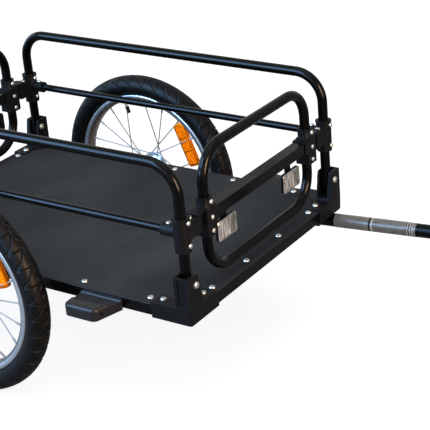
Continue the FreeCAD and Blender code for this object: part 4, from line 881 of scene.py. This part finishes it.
AMBER_ANGLE = 34.3
AMBER_LEAN = 13.0
AMBER_CIRCLE = 119.5
AMBER_SIZES = (92.0, 26.0, 4.0)
AMBER_CORNER = 6.4
AMBER_PANEL_PITCH = 28.0
AMBER_PANEL_SIZES = (26.0, 20.0, 1.0)
AMBER_PANEL_GRID = (10, 8)


def build_ambers(hand, sign):
    """Two wide amber reflectors clipped between the spokes, faceted on both faces."""
    work = bmesh.new()
    cells = bmesh.new()
    depth = AMBER_SIZES[2]
    along = upright_way(AMBER_ANGLE - 90.0 - AMBER_LEAN)
    inward = along.cross(Vector(LEFTWARD))
    for half_turn in (0.0, 180.0):
        centre = wheel_middle(sign) + upright_way(AMBER_ANGLE + half_turn) * AMBER_CIRCLE
        for face in (-1, 1):
            outward = Vector((0, face, 0))
            axes = along, inward, outward
            rounded_block(work, centre + outward * depth / 2, axes, AMBER_SIZES, AMBER_CORNER)
            plane = centre + outward * (depth + PRISM_LIFT)
            for panel in (-1, 0, 1):
                prism_field(cells, plane + along * AMBER_PANEL_PITCH * panel, axes,
                            AMBER_PANEL_SIZES, AMBER_PANEL_GRID)
    stand_for(add_mesh(hand + "_amber_reflectors", work), hand + "_wheel_reflectors")
    facets = add_mesh(hand + "_amber_prisms", close_fields(cells))
    dress(facets, hand + "_wheel", "amber_lens", smooth_below=FACETS_BELOW)


# The valve's bars, each as its distances from the wheel's middle, its radius and its sides
VALVE_ANGLE = 109.0
STEM_BARS = (((149.0, 143.5, 135.5), 2.6, 16), ((148.5, 145.5), 5.0, 6))
CAP_BARS = (((137.0, 124.0), 4.0, 12), ((124.5, 122.5), 3.2, 12))


def valve_piece(name, bars, hand, sign, slot, material=None):
    work = bmesh.new()
    for reaches, radius, sides in bars:
        points = [wheel_middle(sign) + upright_way(VALVE_ANGLE) * reach for reach in reaches]
        sweep(work, points, radius, sides)
    dress(add_mesh(name, work), hand + "_wheel", slot, material)


def build_wheels():
    for hand, sign in HANDS:
        build_tyre(hand, sign)
        build_rim(hand, sign)
        build_hub(hand, sign)
        build_spokes(hand, sign)
        build_ambers(hand, sign)
        valve_piece(hand + "_valve_stem", STEM_BARS, hand, sign, "hub_alloy", BRASS)
        valve_piece(hand + "_valve_cap", CAP_BARS, hand, sign, "black_moulding")
        refine(hand + "_bearings", BEARING_EDGE)
        refine(hand + "_axle", SMALL_EDGE)
        refine(hand + "_axle_button", MOULDED_EDGE)


# Frame and corners

RECESS_FACE_Y = 246.0
DEEP_RECESS_Y = 244.8
BRACKET_ROUND = 5.0
BRACKET_SEGMENTS = 5
SLOT_FLOOR_Z = 24.0
SLOT_MIDDLE_Y = 228.0
SLOT_EXTRA_DEPTH = 16.0
TOWER_LEAN_SHARE = 0.189
ON_PLANE = 0.05
AT_CORNER = 0.1


def round_bracket(work):
    """Deepen the tower's recess and its slot, and round the corner's own upright edge.

    The slot's inner wall leans, so its foot moves with the wall as the floor goes down.
    """
    for vert in work.verts:
        if abs(abs(vert.co.y) - RECESS_FACE_Y) < ON_PLANE:
            vert.co.y = math.copysign(DEEP_RECESS_Y, vert.co.y)
        if abs(vert.co.z - SLOT_FLOOR_Z) < ON_PLANE:
            if abs(vert.co.y) < SLOT_MIDDLE_Y:
                vert.co.y -= math.copysign(TOWER_LEAN_SHARE * SLOT_EXTRA_DEPTH, vert.co.y)
            vert.co.z -= SLOT_EXTRA_DEPTH
    far_x = max(abs(vert.co.x) for vert in work.verts) - AT_CORNER
    far_y = max(abs(vert.co.y) for vert in work.verts) - AT_CORNER
    outermost = [edge for edge in work.edges
                 if all(abs(vert.co.x) > far_x and abs(vert.co.y) > far_y for vert in edge.verts)]
    bmesh.ops.bevel(work, geom=outermost, offset=BRACKET_ROUND, segments=BRACKET_SEGMENTS,
                    profile=0.5, affect="EDGES")


def build_frame():
    for node in ("left_frame_tube", "right_frame_tube", "front_frame_tube", "rear_frame_tube",
                 "deck_bearer", "axle_beam"):
        refine(node, TUBE_EDGE)
    refine("deck_panel", PLATE_EDGE)
    for end, _ in ENDS:
        for hand, _ in HANDS:
            refine("_".join((end, hand, "corner")), CORNER_EDGE, 3, round_bracket)
    for hand, _ in HANDS:
        refine(hand + "_wheel_guard", MOULDED_EDGE).data.materials[0] = GUARD
    refine("drawbar_socket", SMALL_EDGE)
    refine("clamp_knob", KNOB_EDGE)
    screw_piece("deck_screw_heads", "deck_screws", deck_screw_spots())
    screw_piece("pivot_bolt_heads", "frame_bolts", pivot_bolt_spots())


# Drawbar: its own line slopes up a little, and the cranked part is rolled to the right

BAR_DATUM = Vector((362.0, 222.0, -38.8))
BAR_SLOPE = 4.1
BAR_ROLL = 30.0
BAR_WAY = upright_way(BAR_SLOPE)
BAR_RISING = upright_way(BAR_SLOPE + 90.0)
BAR_RADIUS = 12.5
BAR_SIDES = 40
BAR_BEND = 70.0
BAR_START, CRANK_START, CRANK_END, BAR_END = -165.0, 340.0, 500.0, 525.0
CRANK_SHIFT = 160.0
FORK_FROM = 520.2


def on_drawbar(along, left=0.0, above=0.0):
    return BAR_DATUM + BAR_WAY * along + Vector((0, left, 0)) + BAR_RISING * above


def build_drawbar():
    """The cranked tube, with the fork kept from the CAD solid past the tube's end."""
    roll = math.radians(BAR_ROLL)
    shift = -CRANK_SHIFT * math.cos(roll), CRANK_SHIFT * math.sin(roll)
    corners = [on_drawbar(BAR_START), on_drawbar(CRANK_START), on_drawbar(CRANK_END, *shift),
               on_drawbar(BAR_END, *shift)]
    work = bmesh.new()
    sweep(work, rounded_path(corners, BAR_BEND), BAR_RADIUS, BAR_SIDES)
    fork = clean_copy("drawbar_tube")
    bmesh.ops.bisect_plane(fork, geom=[*fork.verts, *fork.edges, *fork.faces],
                           plane_co=on_drawbar(FORK_FROM, *shift), plane_no=BAR_WAY,
                           clear_inner=True)
    bmesh.ops.holes_fill(fork, edges=[edge for edge in fork.edges if edge.is_boundary])
    shell = bpy.data.meshes.new("fork_shell")
    fork.to_mesh(shell)
    fork.free()
    work.from_mesh(shell)
    bmesh.ops.recalc_face_normals(work, faces=work.faces)
    stand_for(soften(add_mesh("cranked_drawbar", work), SMALL_EDGE), "drawbar_tube")
    for node in ("drawbar_pins", "hitch_knuckle", "hitch_coupler"):
        refine(node, PLATE_EDGE)


# The film's bands along the drawbar, each as its start, its end and whether it is a pale ring
WRAP_BANDS = ((8.0, 80.0, False), (84.0, 88.5, True), (89.0, 157.0, False), (158.5, 161.0, True),
              (163.5, 166.0, True), (168.0, 170.5, True), (171.0, 176.0, False))
FILM_THICKNESS = 0.4
BAND_MARGIN = 0.1


def build_wrap():
    """The bare film: two grey bands with pale rings between them and near the front end."""
    work = bmesh.new()
    outside = BAR_RADIUS + FILM_THICKNESS
    for start, end, _ in WRAP_BANDS:
        loops = []
        for along, reach in ((start, BAR_RADIUS), (start, outside), (end, outside),
                             (end, BAR_RADIUS)):
            loops.append([work.verts.new(on_drawbar(along, reach * cosine, reach * sine))
                          for cosine, sine in circle(BAR_SIDES)])
        add_walls(work, loops, closed=True)
    bmesh.ops.recalc_face_normals(work, faces=work.faces)
    wrap = stand_for(add_mesh("drawbar_film", work), "drawbar_wrap")
    wrap.data.materials.append(PALE_RING)
    for face in wrap.data.polygons:
        along = (face.center / MM - on_drawbar(0.0)).dot(BAR_WAY)
        pale = any(start - BAND_MARGIN < along < end + BAND_MARGIN
                   for start, end, bright in WRAP_BANDS if bright)
        face.material_index = 1 if pale else 0


build_frame()
build_rails()
build_gates()
build_clear_reflectors()
build_wheels()
build_drawbar()
build_wrap()


# World and floor

WORLD_LIGHT = 0.3
FLOOR_COLOUR = (0.35, 0.35, 0.35)
FLOOR_ROUGHNESS = 0.9
FLOOR_GLOW = 0.84
FLOOR_GLOSSY_SHARE = 0.25
FLOOR_HALF = 6000.0


def shows_directly(nodes, links, glossy_share):
    """1 for camera rays and rays through clear plastic, a share for glossy rays, 0 for others."""
    path = nodes.new("ShaderNodeLightPath")
    total = path.outputs["Is Camera Ray"]
    for ray, share in (("Is Glossy Ray", glossy_share), ("Is Transmission Ray", 1.0)):
        part = nodes.new("ShaderNodeMath")
        part.operation = "MULTIPLY"
        part.inputs[1].default_value = share
        links.new(path.outputs[ray], part.inputs[0])
        most = nodes.new("ShaderNodeMath")
        most.operation = "MAXIMUM"
        links.new(total, most.inputs[0])
        links.new(part.outputs[0], most.inputs[1])
        total = most.outputs[0]
    return total


def build_world():
    """White where it is seen, and a dimmer light for matt faces."""
    world = bpy.data.worlds.new("studio")
    scene.world = world
    world.use_nodes = True
    nodes, links = world.node_tree.nodes, world.node_tree.links
    background = nodes["Background"]
    background.inputs["Color"].default_value = (1, 1, 1, 1)
    strength = nodes.new("ShaderNodeMapRange")
    strength.inputs["To Min"].default_value = WORLD_LIGHT
    strength.inputs["To Max"].default_value = 1.0
    links.new(shows_directly(nodes, links, 1.0), strength.inputs["Value"])
    links.new(strength.outputs["Result"], background.inputs["Strength"])


def build_floor():
    """A floor that looks white but for the trailer's soft shadow."""
    work = bmesh.new()
    corners = [(x * FLOOR_HALF, y * FLOOR_HALF, GROUND)
               for x, y in ((-1, -1), (1, -1), (1, 1), (-1, 1))]
    work.faces.new([work.verts.new(corner) for corner in corners])
    floor = add_mesh("pale_floor", work)
    finish = Finish("pale_floor", FLOOR_COLOUR, FLOOR_ROUGHNESS)
    glow = finish.add("ShaderNodeEmission", Strength=FLOOR_GLOW)
    both = finish.add("ShaderNodeAddShader")
    choose = finish.add("ShaderNodeMixShader")
    finish.links.new(finish.shader.outputs[0], both.inputs[0])
    finish.links.new(glow.outputs[0], both.inputs[1])
    seen = shows_directly(finish.nodes, finish.links, FLOOR_GLOSSY_SHARE)
    finish.links.new(seen, choose.inputs[0])
    finish.links.new(finish.shader.outputs[0], choose.inputs[1])
    finish.links.new(both.outputs[0], choose.inputs[2])
    finish.links.new(choose.outputs[0], finish.nodes["Material Output"].inputs["Surface"])
    floor.data.materials.append(finish.material)


# Lamps, in metres and watts: where each stands, what it points at, its width and height, its
# power and its colour. The windows only give reflections.

ON_DECK = (0, 0, 0.1)
SOFT_WHITE = (0.96, 0.98, 1.0)
LAMPS = {
    "ceiling": ((0.3, -0.3, 3.0), ON_DECK, (3.0, 3.0), 52, SOFT_WHITE),
    "front_fill": ((0.3, -3.1, 1.3), ON_DECK, (2.0, 2.0), 32, SOFT_WHITE),
    "sky_window": ((-1.5, -2.1, 1.4), (-1.5, 0, 0.2), (2.6, 2.0), 600, (0.30, 0.58, 1.0)),
    "rear_window": ((-2.9, -0.2, 0.75), ON_DECK, (0.6, 1.6), 60, (0.38, 0.66, 1.0)),
    "warm_window": ((2.6, -0.8, 0.9), ON_DECK, (0.6, 1.4), 260, (1.0, 0.62, 0.38)),
}


def build_lights():
    for name, (place, target, (width, height), power, colour) in LAMPS.items():
        light = bpy.data.lights.new(name, "AREA")
        light.shape = "RECTANGLE"
        light.size, light.size_y = width, height
        light.energy = power
        light.color = colour
        lamp = bpy.data.objects.new(name, light)
        scene.collection.objects.link(lamp)
        lamp.location = place
        lamp.rotation_mode = "QUATERNION"
        lamp.rotation_quaternion = (Vector(target) - Vector(place)).to_track_quat("-Z", "Y")
        lamp.visible_camera = False
        lamp.visible_diffuse = not name.endswith("_window")


# Camera, found from the photograph's deck corners, screws and far wheel

PHOTO_SIDE_PIXELS = 430.0
FOCAL_PIXELS = 1363.47
CENTRE_PIXELS = (294.36, 213.81)
CAMERA_PLACE = (1519.37, -1773.67, 1045.78)
CAMERA_AZIMUTH, CAMERA_ELEVATION, CAMERA_ROLL = 121.89, 24.84, -3.47
SENSOR_WIDTH = 36.0
CLIP_END = 50000.0


def build_camera():
    azimuth, elevation = math.radians(CAMERA_AZIMUTH), math.radians(CAMERA_ELEVATION)
    roll = math.radians(CAMERA_ROLL)
    view = Vector((math.cos(elevation) * math.cos(azimuth),
                   math.cos(elevation) * math.sin(azimuth), -math.sin(elevation)))
    right = view.cross(Vector(UP)).normalized()
    upward = right.cross(view)
    turned_right = right * math.cos(roll) + upward * math.sin(roll)
    turned_up = upward * math.cos(roll) - right * math.sin(roll)
    optics = bpy.data.cameras.new("photo_camera")
    optics.sensor_width = SENSOR_WIDTH
    optics.lens = FOCAL_PIXELS / PHOTO_SIDE_PIXELS * SENSOR_WIDTH
    optics.shift_x = (PHOTO_SIDE_PIXELS / 2 - CENTRE_PIXELS[0]) / PHOTO_SIDE_PIXELS
    optics.shift_y = (CENTRE_PIXELS[1] - PHOTO_SIDE_PIXELS / 2) / PHOTO_SIDE_PIXELS
    optics.clip_end = CLIP_END * MM
    camera = bpy.data.objects.new("photo_camera", optics)
    scene.collection.objects.link(camera)
    place = Matrix((turned_right, turned_up, -view)).transposed().to_4x4()
    place.translation = Vector(CAMERA_PLACE) * MM
    camera.matrix_world = place
    scene.camera = camera


build_world()
build_floor()
build_lights()
build_camera()
scene.view_settings.view_transform = "Standard"
